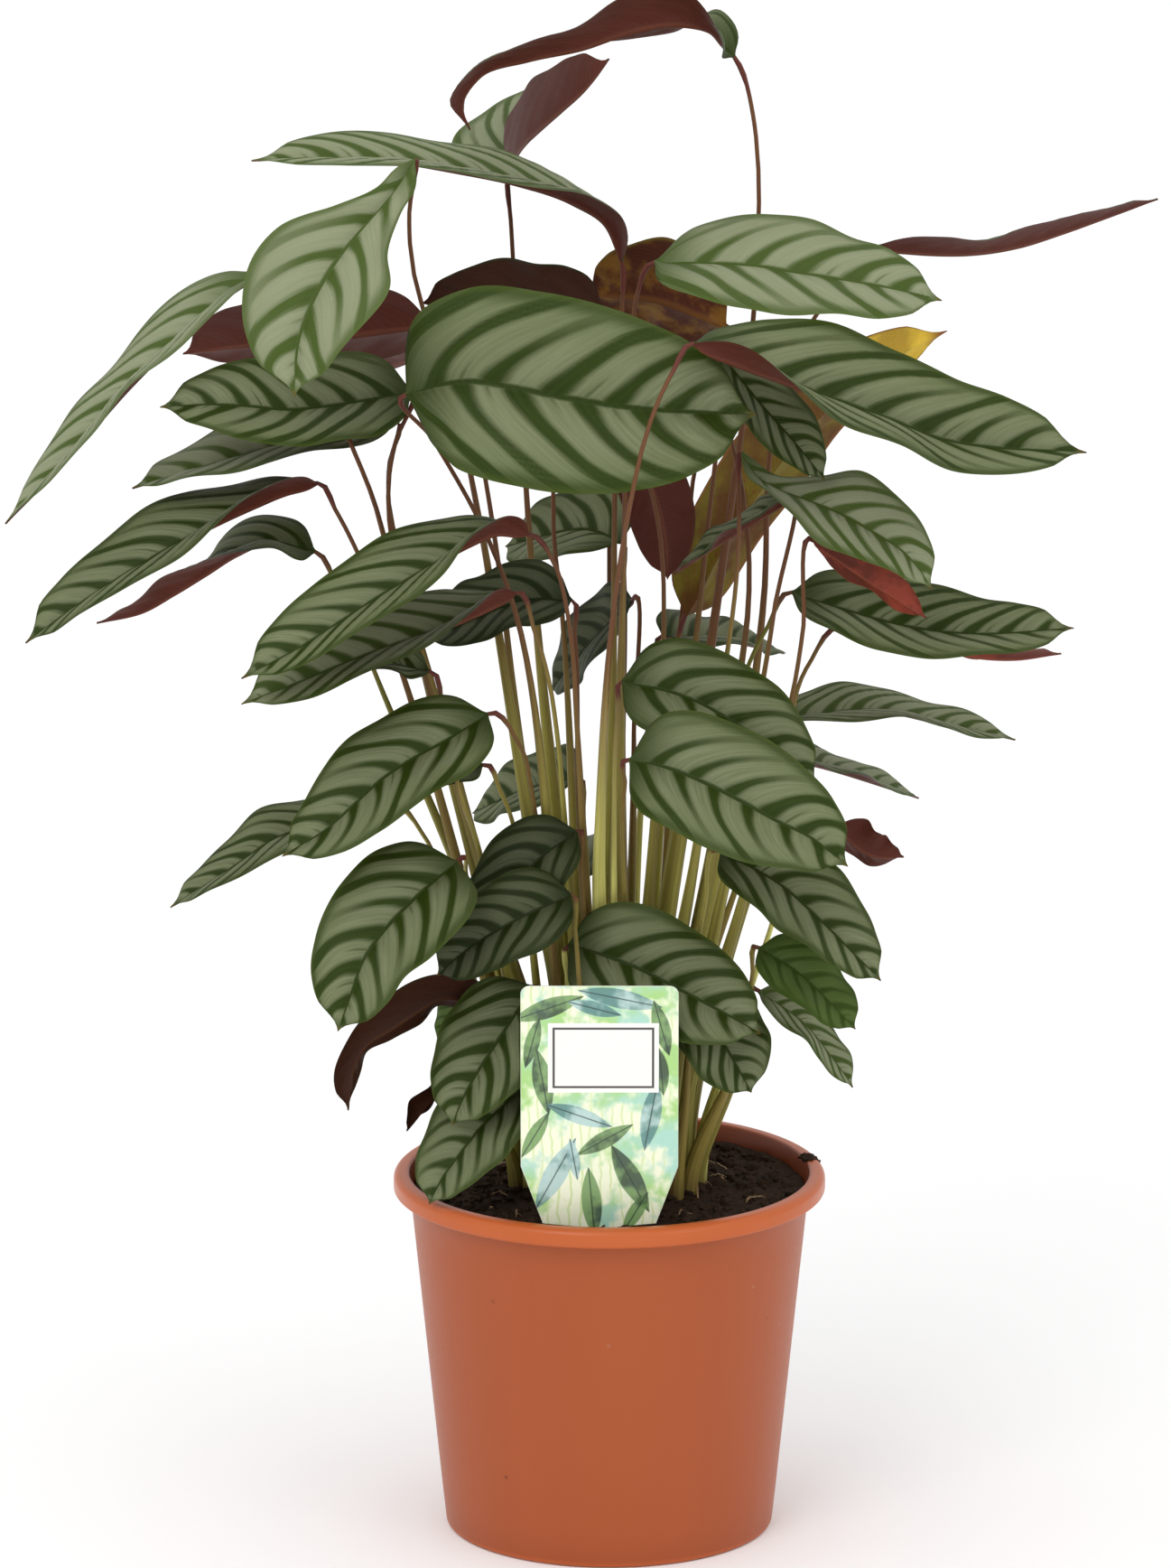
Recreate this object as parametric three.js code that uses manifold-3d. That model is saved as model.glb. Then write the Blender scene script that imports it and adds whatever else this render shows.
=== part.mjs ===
// A potted ctenanthe: a clump of long-stalked patterned leaves in a plastic grower's pot.
// Millimetres, +Z up. The origin is the centre of the pot's flat foot, and -Y faces the viewer.

import * as THREE from 'three';
import { mergeVertices } from 'three/addons/utils/BufferGeometryUtils.js';
import Module from 'manifold-3d';

const wasm = await Module();
wasm.setup();

// Driving dimensions of the pot
const POT_HEIGHT = 143.5;
const LIP_RADIUS = 85;
const LIP_HEIGHT = 7.5;
const SHOULDER_RADIUS = 78.5;
const FOOT_RADIUS = 64.6;
const POT_WALL = 1.8;
const POT_FLOOR = 2;
const POT_SIDES = 40;
const EDGE_BEVEL = 1.5;
const LIP_ROUND = 3;
const LIP_STEPS = 3;
const LIP_THICKNESS = 5.5;
const DRAIN_COUNT = 6;
const DRAIN_RADIUS = 5;
const DRAIN_CIRCLE = 40;
const DRAIN_SIDES = 12;

// Driving dimensions of the soil
const SOIL_TOP = 136.5;
const SOIL_CROWN = 3.5;
const TOUCH_GAP = 0.35;
const HOLE_GAP = 0.42;

// How far in from its side the soil has risen by each share of its crown
const SOIL_RISE = [[16, 0.2], [42, 0.8]];

// Driving dimensions of the tag
const TAG_WIDTH = 61;
const TAG_ABOVE_SOIL = 101;
const TAG_CORNER = 3.5;
const TAG_CORNER_STEPS = 4;
const TAG_SHOULDER = 27;
const TAG_WAIST_WIDTH = 44;
const TAG_WAIST = 3.5;
const TAG_STAKE_WIDTH = 14;
const TAG_STAKE_DEPTH = 26;
const TAG_STAKE_TOP = 2;
const TAG_POINT_LENGTH = 8;
const TAG_POINT_WIDTH = 2;
const TAG_THICKNESS = 0.8;
const TAG_LEAN = THREE.MathUtils.degToRad(4);
const TAG_PLACE = new THREE.Vector3(-4, -62, SOIL_TOP);

// Driving dimensions of the clump, its stalks and its blades
const CLUMP_CENTRE = new THREE.Vector2(2, 6);
const CLUMP_RADIUS = 45;
const ROOT_GAP = 1.6;
const ROOT_RADIUS = 2.4;
const ROOT_RADIUS_GAIN = 0.0042;
const STALK_TOP_RADIUS = 1.15;
const STALK_TAPER = 2.1;
const SUNK_DEPTH = 12;
const STALK_START = SOIL_TOP + SOIL_CROWN + 1;
const BLADE_HALF_THICKNESS = 0.4;
const EDGE_WAVE = 1.5;
const WAVES_PER_EDGE = 2;
const WAVE_CALM = 5;
const WAVE_TURN_PER_LEAF = 0.13;
const WAVE_TURN_ACROSS = 0.3;
const USUAL_FOLD = 12;

// Half-width of a blade along its length, as shares of the length and of the full half-width
const BLADE_OUTLINE = [
  [0.03, 0.42], [0.1, 0.76], [0.2, 0.94], [0.35, 1], [0.5, 0.98],
  [0.66, 0.87], [0.81, 0.67], [0.93, 0.35], [1, 0.03],
];

// How the viewer stands: leaf places are read on a plane through the pot's axis that faces the
// eye, to the right of the axis and up from the foot, with a third number toward the viewer.
const EYE = new THREE.Vector3(-9.4, -4000, 1308.5);
const EYE_TILT = THREE.MathUtils.degToRad(14.15);
const EYE_TO_PLANE = 4164;
const PLANE_CENTRE = new THREE.Vector2(-9.4, 289.5);

function sight([right, up, near]) {
  const forward = new THREE.Vector3(0, Math.cos(EYE_TILT), -Math.sin(EYE_TILT));
  const upward = new THREE.Vector3(0, Math.sin(EYE_TILT), Math.cos(EYE_TILT));
  const ray = forward.multiplyScalar(EYE_TO_PLANE);
  ray.x += right - PLANE_CENTRE.x;
  ray.addScaledVector(upward, up - PLANE_CENTRE.y);
  const share = (-near - EYE.y) / ray.y;
  return EYE.clone().addScaledVector(ray, share);
}

// The leaves. width is the blade's, and face is where its upper side looks, from base to tip, in
// world axes. rib runs from the blade's base to its tip, and stalk from there down. fold is how
// far both halves lift from flat, and neck the share of the blade that is rolled up at its base
// and the share of the width that this leaves.
const LEAVES = [
  // top arch, underside to the viewer
  { width: 45, face: [[0.5, -0.7, 0.6], [0, 0.5, 0.87], [0, 0.5, 0.87], [0, 0.32, 0.95],
    [-0.35, 0.1, 0.93], [-0.85, 0.5, 0.3]],
    rib: [[49, 576, 0], [38, 588, 2], [15, 588, 4], [-10, 580, 6], [-32, 575, 8], [-50, 569, 10],
      [-59, 561, 10], [-55, 547, 12]],
    stalk: [[57, 571, -2], [60, 516, -8], [53, 431, -12], [43, 367, -15]] },
  { width: 50, fold: 46, face: [[-0.45, -0.88, 0.1], [-0.66, -0.6, 0.45], [-0.6, 0.2, 0.75],
    [-0.3, 0.5, 0.8]],
    rib: [[-40, 528, -34], [-39, 534, -48], [-35, 541, -64], [-24, 551, -84], [-11, 562, -100],
      [0, 575, -112]],
    stalk: [[-39, 519, -38], [-38, 497, -37], [-34, 420, -32]] },
  { width: 48, face: [[0.6, 0.2, 0.7], [0.2, 0, 1], [0, -0.2, 1], [0, -0.2, 1]],
    rib: [[5, 495, -12], [1, 509, -14], [-20, 522, -10], [-48, 529, 0], [-84, 535, 10],
      [-116, 536, 18], [-141, 535, 22]],
    stalk: [[6, 480, -14], [4, 440, -16]] },
  // broad leaf at the upper left, hooked over its stalk
  { width: 64, neck: [0.42, 0.24], face: [[0.6, -0.7, 0.3], [0.3, -0.88, 0.3],
    [-0.2, -0.92, 0.3], [-0.5, -0.82, 0.28], [-0.5, -0.82, 0.25]],
    rib: [[-77, 535, 50], [-83, 525, 58], [-92, 514, 66], [-101, 504, 73], [-110, 492, 80],
      [-118, 477, 86], [-123, 461, 90], [-124, 442, 92]],
    stalk: [[-82, 500, 44], [-75, 478, 40], [-60, 440, 30]] },
  { width: 46, face: [[-0.5, -0.2, 0.85], [-0.68, -0.12, 0.72]],
    rib: [[-139, 491, 20], [-158, 477, 26], [-187, 449, 34], [-213, 419, 40], [-238, 392, 42]],
    stalk: [[-128, 478, 16], [-96, 430, 12], [-88, 400, 10]] },
  { width: 52, face: [[0, 0.75, 0.66]],
    rib: [[-70, 471, -15], [-105, 466, -24], [-138, 463, -36], [-168, 459, -48]],
    stalk: [[-62, 468, -13], [-52, 430, -10]] },
  { width: 45, face: [[0, -0.65, 0.76]],
    rib: [[-78, 444, 36], [-107, 439, 42], [-128, 437, 48], [-151, 439, 52], [-177, 438, 54]],
    stalk: [[-80, 438, 34], [-89, 425, 30], [-88, 388, 28]] },
  { width: 46, face: [[0, -0.2, 0.98]],
    rib: [[-84, 432, 22], [-105, 426, 24], [-130, 423, 28], [-158, 415, 32], [-188, 406, 34]],
    stalk: [[-84, 424, 18], [-96, 417, 15], [-89, 394, 13]] },
  { width: 44, fold: 20, face: [[0, 0.3, 0.95], [-0.3, -0.35, 0.87], [-0.4, -0.5, 0.76]],
    rib: [[-115, 408, 34], [-130, 404, 38], [-158, 391, 46], [-183, 377, 52], [-208, 361, 56],
      [-230, 345, 58]],
    stalk: [[-107, 401, 30], [-98, 381, 28], [-89, 356, 24]] },
  { width: 38, face: [[0.2, -0.5, 0.85], [-0.1, 0.3, 0.95], [-0.2, 0.4, 0.9]],
    rib: [[-116, 381, 20], [-137, 385, 22], [-162, 371, 26], [-183, 358, 28], [-202, 353, 30]],
    stalk: [[-107, 375, 16], [-96, 345, 14]] },
  // the largest leaf, in the middle
  { width: 76, face: [[0, -0.95, 0.3]],
    rib: [[-80, 443, 80], [-60, 448, 86], [-41, 446, 90], [-14, 441, 92], [16, 437, 92],
      [58, 435, 86]],
    stalk: [[-74, 430, 62], [-62, 415, 48], [-43, 378, 38], [-32, 342, 34], [-27, 278, 28]] },
  { width: 44, face: [[0, 0.8, 0.6]],
    rib: [[-2, 475, -8], [-37, 478, -12], [-74, 479, -20]],
    stalk: [[4, 470, -10], [5, 430, -12]] },
  { width: 56, face: [[0, 0.85, 0.5]],
    rib: [[46, 470, -36], [18, 480, -44], [-9, 482, -54]],
    stalk: [[46, 455, -34], [42, 420, -32]] },
  { width: 56, fold: 5, face: [[0.1, -0.4, 0.9], [0, -0.5, 0.87], [0, -0.5, 0.87]],
    rib: [[18, 495, 36], [30, 495, 40], [55, 494, 44], [80, 490, 48], [105, 486, 50],
      [131, 480, 50]],
    stalk: [[9, 490, 30], [8, 455, 26], [6, 400, 24]] },
  { width: 35, face: [[0, 0.3, 0.95], [0, 0.42, 0.9]],
    rib: [[104, 501, -22], [137, 499, -34], [162, 502, -44], [187, 510, -54], [216, 520, -64]],
    stalk: [[98, 495, -20], [70, 465, -18], [63, 434, -16], [61, 349, -14]] },
  // its stalk stands in front of the largest leaf
  { width: 58, fold: 24, face: [[-0.2, 0.1, 0.9], [0.2, -0.5, 0.8], [0.25, -0.6, 0.75],
    [0.2, -0.6, 0.78]],
    rib: [[33, 463, 102], [42, 459, 100], [70, 448, 92], [92, 440, 84], [117, 431, 76],
      [141, 423, 68], [188, 420, 58]],
    stalk: [[19, 457, 108], [14, 430, 108], [8, 406, 104], [0, 350, 86], [-2, 314, 66],
      [-7, 243, 26]] },
  { width: 42, face: [[-0.3, 0.85, 0.4]],
    rib: [[30, 356, -36], [44, 383, -46], [62, 410, -58], [82, 434, -70], [107, 455, -82],
      [133, 468, -92]],
    stalk: [[26, 340, -34], [22, 300, -30]] },
  { width: 30, face: [[0.4, -0.7, 0.6]],
    rib: [[44, 459, 50], [59, 440, 52], [73, 424, 54], [85, 409, 56]],
    stalk: [[40, 452, 46], [54, 400, 30], [57, 360, 24]] },
  { width: 40, neck: [0.34, 0.26],
    face: [[0.1, -0.5, 0.85], [0.3, -0.7, 0.65], [0.5, -0.75, 0.45]],
    rib: [[52, 420, 36], [59, 410, 40], [71, 404, 46], [89, 397, 52], [105, 388, 56],
      [119, 378, 60], [127, 366, 60]],
    stalk: [[50, 412, 34], [52, 385, 30], [47, 345, 26]] },
  { width: 22, face: [[-0.3, 0.6, 0.7]],
    rib: [[81, 385, 44], [101, 371, 50], [125, 355, 56]],
    stalk: [[78, 378, 40], [76, 340, 34]] },
  { width: 42, face: [[0.1, -0.5, 0.85]],
    rib: [[72, 365, 18], [94, 358, 22], [116, 352, 26], [137, 349, 28], [158, 349, 30],
      [183, 351, 30]],
    stalk: [[62, 360, 16], [56, 349, 15], [50, 330, 12]] },
  { width: 38, face: [[0.1, 0.42, 0.9]],
    rib: [[91, 351, -8], [130, 343, -14], [155, 339, -20], [178, 341, -26]],
    stalk: [[81, 348, -8], [76, 325, -8], [71, 303, -8]] },
  { width: 33, face: [[0, -0.2, 0.98]],
    rib: [[65, 315, -22], [80, 317, -28], [105, 319, -38], [130, 314, -46], [160, 307, -54]],
    stalk: [[58, 305, -20], [52, 280, -18]] },
  { width: 30, face: [[0.2, -0.1, 0.97]],
    rib: [[69, 301, -42], [91, 295, -60], [122, 284, -78]],
    stalk: [[62, 292, -40], [54, 260, -36]] },
  { width: 35, face: [[0, -0.3, 0.95]],
    rib: [[21, 348, -50], [44, 347, -70], [69, 341, -92]],
    stalk: [[16, 340, -48], [14, 300, -44]] },
  { width: 45, face: [[0.2, -0.8, 0.55]],
    rib: [[5, 330, 44], [30, 324, 50], [55, 310, 56], [82, 289, 60]],
    stalk: [[2, 322, 38], [2, 290, 32]] },
  { width: 52, face: [[0.25, -0.85, 0.45]],
    rib: [[8, 299, 78], [23, 296, 84], [44, 287, 92], [66, 275, 100], [80, 268, 104],
      [94, 257, 106]],
    stalk: [[4, 290, 60], [3, 260, 34], [3, 230, 20]] },
  { width: 42, face: [[0.45, -0.65, 0.6]],
    rib: [[44, 263, 52], [66, 251, 60], [82, 237, 66], [96, 223, 72], [107, 212, 74]],
    stalk: [[38, 252, 46], [36, 225, 40]] },
  { width: 25, face: [[0.2, 0.7, 0.65]],
    rib: [[89, 273, 0], [103, 262, -2], [116, 261, -4]],
    stalk: [[80, 272, 0], [66, 240, 2], [52, 200, 4]] },
  { width: 28, face: [[0.5, -0.75, 0.4]],
    rib: [[59, 225, 42], [76, 214, 48], [97, 193, 54]],
    stalk: [[56, 219, 38], [57, 195, 34]] },
  { width: 22, face: [[0.6, -0.5, 0.6]],
    rib: [[59, 208, 12], [76, 196, 14], [89, 180, 16], [96, 170, 16]],
    stalk: [[56, 200, 12], [53, 180, 12]] },
  // low leaf behind the tag
  { width: 48, face: [[0.2, -0.88, 0.4]],
    rib: [[-16, 226, 36], [-11, 225, 38], [9, 218, 44], [27, 209, 49], [44, 200, 56],
      [60, 191, 62]],
    stalk: [[-18, 219, 33], [-16, 195, 30]] },
  { width: 38, face: [[0.35, -0.85, 0.4]],
    rib: [[34, 203, 34], [44, 189, 40], [56, 168, 44]],
    stalk: [[31, 196, 30], [32, 178, 28]] },
  { width: 45, fold: 20, face: [[0, 0.3, 0.9], [-0.1, -0.4, 0.9], [-0.3, -0.6, 0.75]],
    rib: [[-32, 388, 64], [-48, 388, 70], [-78, 371, 80], [-98, 359, 88], [-119, 345, 94],
      [-145, 331, 98]],
    stalk: [[-22, 384, 58], [-16, 372, 54], [-14, 330, 46]] },
  { width: 45, fold: 20, face: [[0, 0.3, 0.9], [-0.1, -0.4, 0.9], [-0.3, -0.6, 0.75]],
    rib: [[-37, 365, 50], [-55, 356, 56], [-80, 346, 64], [-98, 340, 70], [-116, 332, 76],
      [-145, 321, 80]],
    stalk: [[-30, 357, 47], [-24, 340, 44], [-20, 310, 38]] },
  { width: 38, face: [[-0.1, -0.5, 0.85]],
    rib: [[-15, 362, 2], [-34, 362, 4], [-52, 355, 8], [-73, 346, 10]],
    stalk: [[-12, 352, 0], [-14, 320, 0]] },
  { width: 24, face: [[-0.1, -0.3, 0.95]],
    rib: [[-71, 334, 44], [-92, 338, 46], [-112, 338, 46]],
    stalk: [[-67, 327, 42], [-60, 300, 38]] },
  { width: 42, face: [[-0.35, -0.8, 0.5]],
    rib: [[-48, 317, 52], [-64, 307, 60], [-85, 295, 68], [-100, 282, 76], [-111, 272, 80],
      [-129, 261, 84]],
    stalk: [[-36, 312, 48], [-31, 300, 44], [-26, 265, 38]] },
  { width: 34, face: [[-0.2, -0.3, 0.93]],
    rib: [[-86, 281, 14], [-105, 276, 18], [-130, 269, 24], [-151, 255, 28], [-173, 241, 30]],
    stalk: [[-77, 278, 12], [-68, 262, 10], [-58, 230, 8]] },
  { width: 32, face: [[0.1, -0.4, 0.9], [-0.1, 0.3, 0.95]],
    rib: [[-50, 297, 42], [-69, 292, 46], [-87, 282, 50], [-108, 269, 54]],
    stalk: [[-42, 291, 38], [-37, 278, 34], [-33, 245, 28]] },
  { width: 49, face: [[-0.35, -0.9, 0.3]],
    rib: [[-60, 259, 56], [-74, 247, 68], [-86, 235, 78], [-96, 222, 86], [-102, 206, 90],
      [-107, 192, 92]],
    stalk: [[-56, 251, 38], [-48, 231, 18], [-38, 205, 12]] },
  { width: 36, face: [[-0.3, -0.8, 0.5]],
    rib: [[-13, 271, 34], [-30, 258, 38], [-43, 240, 41], [-56, 215, 43]],
    stalk: [[-11, 262, 30], [-9, 235, 26]] },
  { width: 36, face: [[-0.25, -0.8, 0.55]],
    rib: [[-15, 246, 54], [-35, 237, 58], [-55, 225, 59], [-68, 214, 58]],
    stalk: [[-13, 236, 50], [-12, 210, 44]] },
  { width: 35, face: [[-0.1, -0.6, 0.8]],
    rib: [[-12, 292, -60], [-32, 288, -78], [-54, 278, -98]],
    stalk: [[-10, 284, -56], [-8, 250, -50]] },
  { width: 30, face: [[-0.3, 0.6, 0.7], [-0.5, 0.6, 0.5], [-0.85, 0.4, 0.2]],
    rib: [[-50, 203, 26], [-66, 206, 30], [-82, 196, 36], [-97, 186, 42], [-102, 174, 44],
      [-103, 161, 44]],
    stalk: [[-44, 196, 24], [-38, 172, 22]] },
  { width: 26, face: [[-0.3, -0.75, 0.6]],
    rib: [[-46, 205, -30], [-57, 198, -34], [-68, 188, -38]],
    stalk: [[-42, 196, -28], [-36, 175, -26]] },
  { width: 44, face: [[-0.4, -0.88, 0.3]],
    rib: [[-30, 210, 38], [-41, 193, 44], [-52, 176, 50], [-58, 165, 53], [-62, 155, 55]],
    stalk: [[-29, 201, 34], [-28, 180, 30]] },
  // lowest leaf, its tip just over the lip
  { width: 38, face: [[-0.45, -0.8, 0.45]],
    rib: [[-34, 170, 38], [-50, 155, 44], [-58, 145, 48], [-66, 134, 51], [-71, 124, 54]],
    stalk: [[-30, 163, 34], [-29, 150, 32]] },
  { width: 20, face: [[-0.5, 0.5, 0.7]],
    rib: [[-59, 175, 6], [-70, 166, 8], [-80, 153, 10]],
    stalk: [[-52, 172, 6], [-42, 155, 6]] },
  { width: 45, face: [[-0.1, -0.6, 0.8]],
    rib: [[5, 385, -60], [-12, 390, -80], [-41, 383, -104]],
    stalk: [[7, 372, -58], [6, 330, -52]] },
  { width: 28, face: [[0, 0.95, 0.2]],
    rib: [[12, 418, -12], [19, 400, -20], [22, 386, -24], [23, 370, -28]],
    stalk: [[16, 412, -8], [21, 404, -4], [22, 350, 0]] },
  { width: 30, face: [[-0.2, 0, 1]],
    rib: [[70, 402, 28], [48, 388, 26], [25, 372, 24]],
    stalk: [[69, 395, 28], [66, 360, 25], [60, 330, 22]] },
  { width: 34, face: [[-0.2, -0.6, 0.75]],
    rib: [[9, 362, -44], [-8, 345, -60], [-23, 326, -74]],
    stalk: [[10, 350, -42], [10, 320, -40]] },
  // leaves on the far side
  { width: 55, face: [[-0.2, 0.3, 0.93], [-0.3, 0.5, 0.8]],
    rib: [[-30, 440, -70], [-50, 455, -95], [-72, 458, -125], [-92, 452, -150], [-108, 444, -170]],
    stalk: [[-26, 415, -64], [-18, 360, -52]] },
  { width: 52, face: [[0.2, 0.3, 0.93], [0.25, 0.45, 0.85]],
    rib: [[40, 425, -75], [62, 445, -100], [88, 450, -125], [112, 446, -150], [126, 438, -165]],
    stalk: [[36, 405, -70], [26, 350, -56]] },
  { width: 56, face: [[0, 0.2, 0.98], [0, 0.5, 0.87], [0, 0.8, 0.6]],
    rib: [[0, 425, -98], [2, 445, -124], [4, 448, -152], [6, 438, -178], [6, 425, -192]],
    stalk: [[0, 410, -92], [0, 350, -84], [0, 280, -64]] },
  { width: 46, face: [[-0.1, 0.3, 0.95], [-0.15, 0.6, 0.8]],
    rib: [[-14, 250, -62], [-20, 262, -92], [-26, 258, -122], [-32, 244, -146], [-36, 228, -156]],
    stalk: [[-12, 238, -56], [-8, 200, -48]] },
];

// Settling of the stalks
const LEVEL_STEP = 5;
const SMOOTH_PASSES = 30;
const SETTLE_PASSES = 220;
const SETTLE_GAP = 1.7;
const SETTLE_REACH = 3;
const END_LEVELS = 3;
const ROOT_PASSES = 300;
const ROOT_PUSH = 0.6;
const LEAN_HEIGHT = 100;
const BEND_ALLOWED = 0.5;
const NECK = 10;
const BLADE_CLEARANCE = 7;
const BLADE_NEARBY = 30;
const MERGE_DISTANCE = 1e-4;

// A longer stalk is thicker at the soil, and every stalk thins toward its blade
function rootRadius(leaf) {
  return ROOT_RADIUS + ROOT_RADIUS_GAIN * (sight(leaf.rib[0]).z - STALK_START);
}

function stalkRadius(leaf, share) {
  return STALK_TOP_RADIUS + (rootRadius(leaf) - STALK_TOP_RADIUS) * (1 - share) ** STALK_TAPER;
}

// A stalk that leans more starts further out in the clump, and each stands clear of the others
function placeRoots(leaves) {
  const sizes = leaves.map(rootRadius);
  const roots = leaves.map((leaf) => {
    const guide = sight(leaf.stalk[leaf.stalk.length - 1]);
    const away = new THREE.Vector2(guide.x, guide.y).sub(CLUMP_CENTRE);
    away.multiplyScalar(LEAN_HEIGHT / (guide.z - STALK_START));
    const reach = CLUMP_RADIUS * away.length() / (away.length() + CLUMP_RADIUS);
    return away.setLength(reach);
  });
  for (let pass = 0; pass < ROOT_PASSES; pass += 1) {
    const push = roots.map(() => new THREE.Vector2());
    for (let a = 0; a < roots.length; a += 1) {
      for (let b = a + 1; b < roots.length; b += 1) {
        const apart = roots[a].clone().sub(roots[b]);
        const lack = sizes[a] + sizes[b] + ROOT_GAP - apart.length();
        if (lack > 0) {
          apart.setLength(lack * 0.5);
          push[a].add(apart);
          push[b].sub(apart);
        }
      }
    }
    roots.forEach((root, index) => {
      root.addScaledVector(push[index], ROOT_PUSH);
      if (root.length() > CLUMP_RADIUS) root.setLength(CLUMP_RADIUS);
    });
  }
  return roots.map((root) => root.add(CLUMP_CENTRE));
}

// A stalk as one point for each level above the soil, up to its blade
function stalkLevels(leaf, root) {
  const knots = [...leaf.stalk].reverse().map(sight);
  knots.unshift(new THREE.Vector3(root.x, root.y, STALK_START));
  knots.push(sight(leaf.rib[0]));
  const count = Math.floor((knots[knots.length - 1].z - STALK_START) / LEVEL_STEP);
  const points = [];
  for (let level = 0; level <= count; level += 1) {
    const height = STALK_START + level * LEVEL_STEP;
    let next = 1;
    while (next < knots.length - 1 && knots[next].z < height) next += 1;
    const low = knots[next - 1];
    const high = knots[next];
    const share = (height - low.z) / (high.z - low.z);
    points.push([low.x + (high.x - low.x) * share, low.y + (high.y - low.y) * share]);
  }
  return smooth(points, SMOOTH_PASSES);
}

function smooth(points, passes) {
  let now = points;
  for (let pass = 0; pass < passes; pass += 1) {
    now = now.map((point, index) => {
      if (index === 0 || index === now.length - 1) return point;
      const [before, after] = [now[index - 1], now[index + 1]];
      return [0, 1].map((axis) => (before[axis] + 2 * point[axis] + after[axis]) / 4);
    });
  }
  return now;
}

// Points spread over a blade, from edge to edge and from base to tip
function bladePoints(rings) {
  const rows = rings.map(([left, middle, right]) => [
    left, left.clone().lerp(middle, 1 / 3), left.clone().lerp(middle, 2 / 3), middle,
    middle.clone().lerp(right, 1 / 3), middle.clone().lerp(right, 2 / 3), right]);
  const between = rows.slice(1).map((row, index) => (
    row.map((point, place) => point.clone().lerp(rows[index][place], 0.5))));
  return [...rows, ...between].flat();
}

// How far a point on a stalk is from the nearest point of a blade, and that point
function nearestOn(points, x, y, z) {
  let best = null;
  let least = BLADE_NEARBY ** 2;
  for (const point of points) {
    const gap = (point.x - x) ** 2 + (point.y - y) ** 2 + (point.z - z) ** 2;
    if (gap < least) {
      least = gap;
      best = point;
    }
  }
  return [Math.sqrt(least), best];
}

// The blades that a stalk runs close to, and whether it passes behind each or in front of it
function nearbyBlades(stalk, own, blades) {
  const found = [];
  blades.forEach((points, index) => {
    if (index === own) return;
    let behind = 0;
    let closest = BLADE_NEARBY;
    stalk.forEach(([x, y], level) => {
      const [distance, point] = nearestOn(points, x, y, STALK_START + level * LEVEL_STEP);
      if (point === null) return;
      closest = Math.min(closest, distance);
      behind += (y - point.y) / (1 + distance);
    });
    if (closest < BLADE_NEARBY) found.push([points, behind > 0 ? 1 : -1]);
  });
  return found;
}

function pushStalksApart(at, radius, stalks, pushes, holdAt) {
  for (let a = 0; a < stalks.length; a += 1) {
    for (let b = a + 1; b < stalks.length; b += 1) {
      const shared = Math.min(stalks[a].length, stalks[b].length);
      const apart = [];
      for (let level = 0; level < shared; level += 1) {
        apart.push([0, 1].map((axis) => at(a, level, axis) - at(b, level, axis)));
      }
      for (let level = 1; level < shared; level += 1) {
        const need = radius(a, level) + radius(b, level) + SETTLE_GAP;
        const lack = need - Math.hypot(...apart[level]);
        if (lack <= 0) continue;
        const near = apart.slice(Math.max(0, level - SETTLE_REACH), level + SETTLE_REACH + 1);
        const way = [0, 1].map((axis) => near.reduce((sum, gap) => sum + gap[axis], 0));
        const size = Math.hypot(...way);
        for (const [index, sign] of [[a, 0.5], [b, -0.5]]) {
          for (const axis of [0, 1]) {
            pushes[index][level][axis] += (sign * holdAt(index, level) * lack * way[axis]) / size;
          }
        }
      }
    }
  }
}

function pushStalksOffBlades(at, radius, stalks, nearby, pushes, holdAt) {
  nearby.forEach((found, index) => {
    for (const [points, side] of found) {
      for (let level = 1; level < stalks[index].length; level += 1) {
        const height = STALK_START + level * LEVEL_STEP;
        const [distance] = nearestOn(points, at(index, level, 0), at(index, level, 1), height);
        const lack = BLADE_CLEARANCE + radius(index, level) - distance;
        if (lack > 0) pushes[index][level][1] += 0.5 * side * lack * holdAt(index, level);
      }
    }
  });
}

// Stalks that come too close to each other or to a blade move away there, and the moves are
// spread along them
function settleStalks(leaves, stalks, blades) {
  const moves = stalks.map((stalk) => stalk.map(() => [0, 0]));
  const at = (index, level, axis) => stalks[index][level][axis] + moves[index][level][axis];
  const radius = (index, level) => stalkRadius(leaves[index], level / stalks[index].length);
  const holdAt = (index, level) => (
    Math.min(1, level / END_LEVELS, (stalks[index].length - 1 - level) / END_LEVELS));
  const nearby = stalks.map((stalk, index) => nearbyBlades(stalk, index, blades));
  for (let pass = 0; pass < SETTLE_PASSES; pass += 1) {
    const pushes = stalks.map((stalk) => stalk.map(() => [0, 0]));
    pushStalksApart(at, radius, stalks, pushes, holdAt);
    pushStalksOffBlades(at, radius, stalks, nearby, pushes, holdAt);
    moves.forEach((track, index) => {
      const pushed = track.map((move, level) => [
        move[0] + pushes[index][level][0], move[1] + pushes[index][level][1]]);
      pushed[0] = [0, 0];
      pushed[pushed.length - 1] = [0, 0];
      moves[index] = smooth(pushed, 1);
    });
  }
  return stalks.map((stalk, index) => stalk.map((point, level) => (
    new THREE.Vector3(at(index, level, 0), at(index, level, 1), STALK_START + level * LEVEL_STEP))));
}

// Points at given shares of a curve's length
function alongCurve(points, shares) {
  const curve = new THREE.CatmullRomCurve3(points, false, 'catmullrom', 0.5);
  return shares.map((share) => curve.getPointAt(share));
}

function faceAt(faces, share) {
  const place = share * (faces.length - 1);
  const low = Math.min(Math.floor(place), faces.length - 1);
  const high = Math.min(low + 1, faces.length - 1);
  return new THREE.Vector3(...faces[low]).lerp(new THREE.Vector3(...faces[high]), place - low);
}

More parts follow.
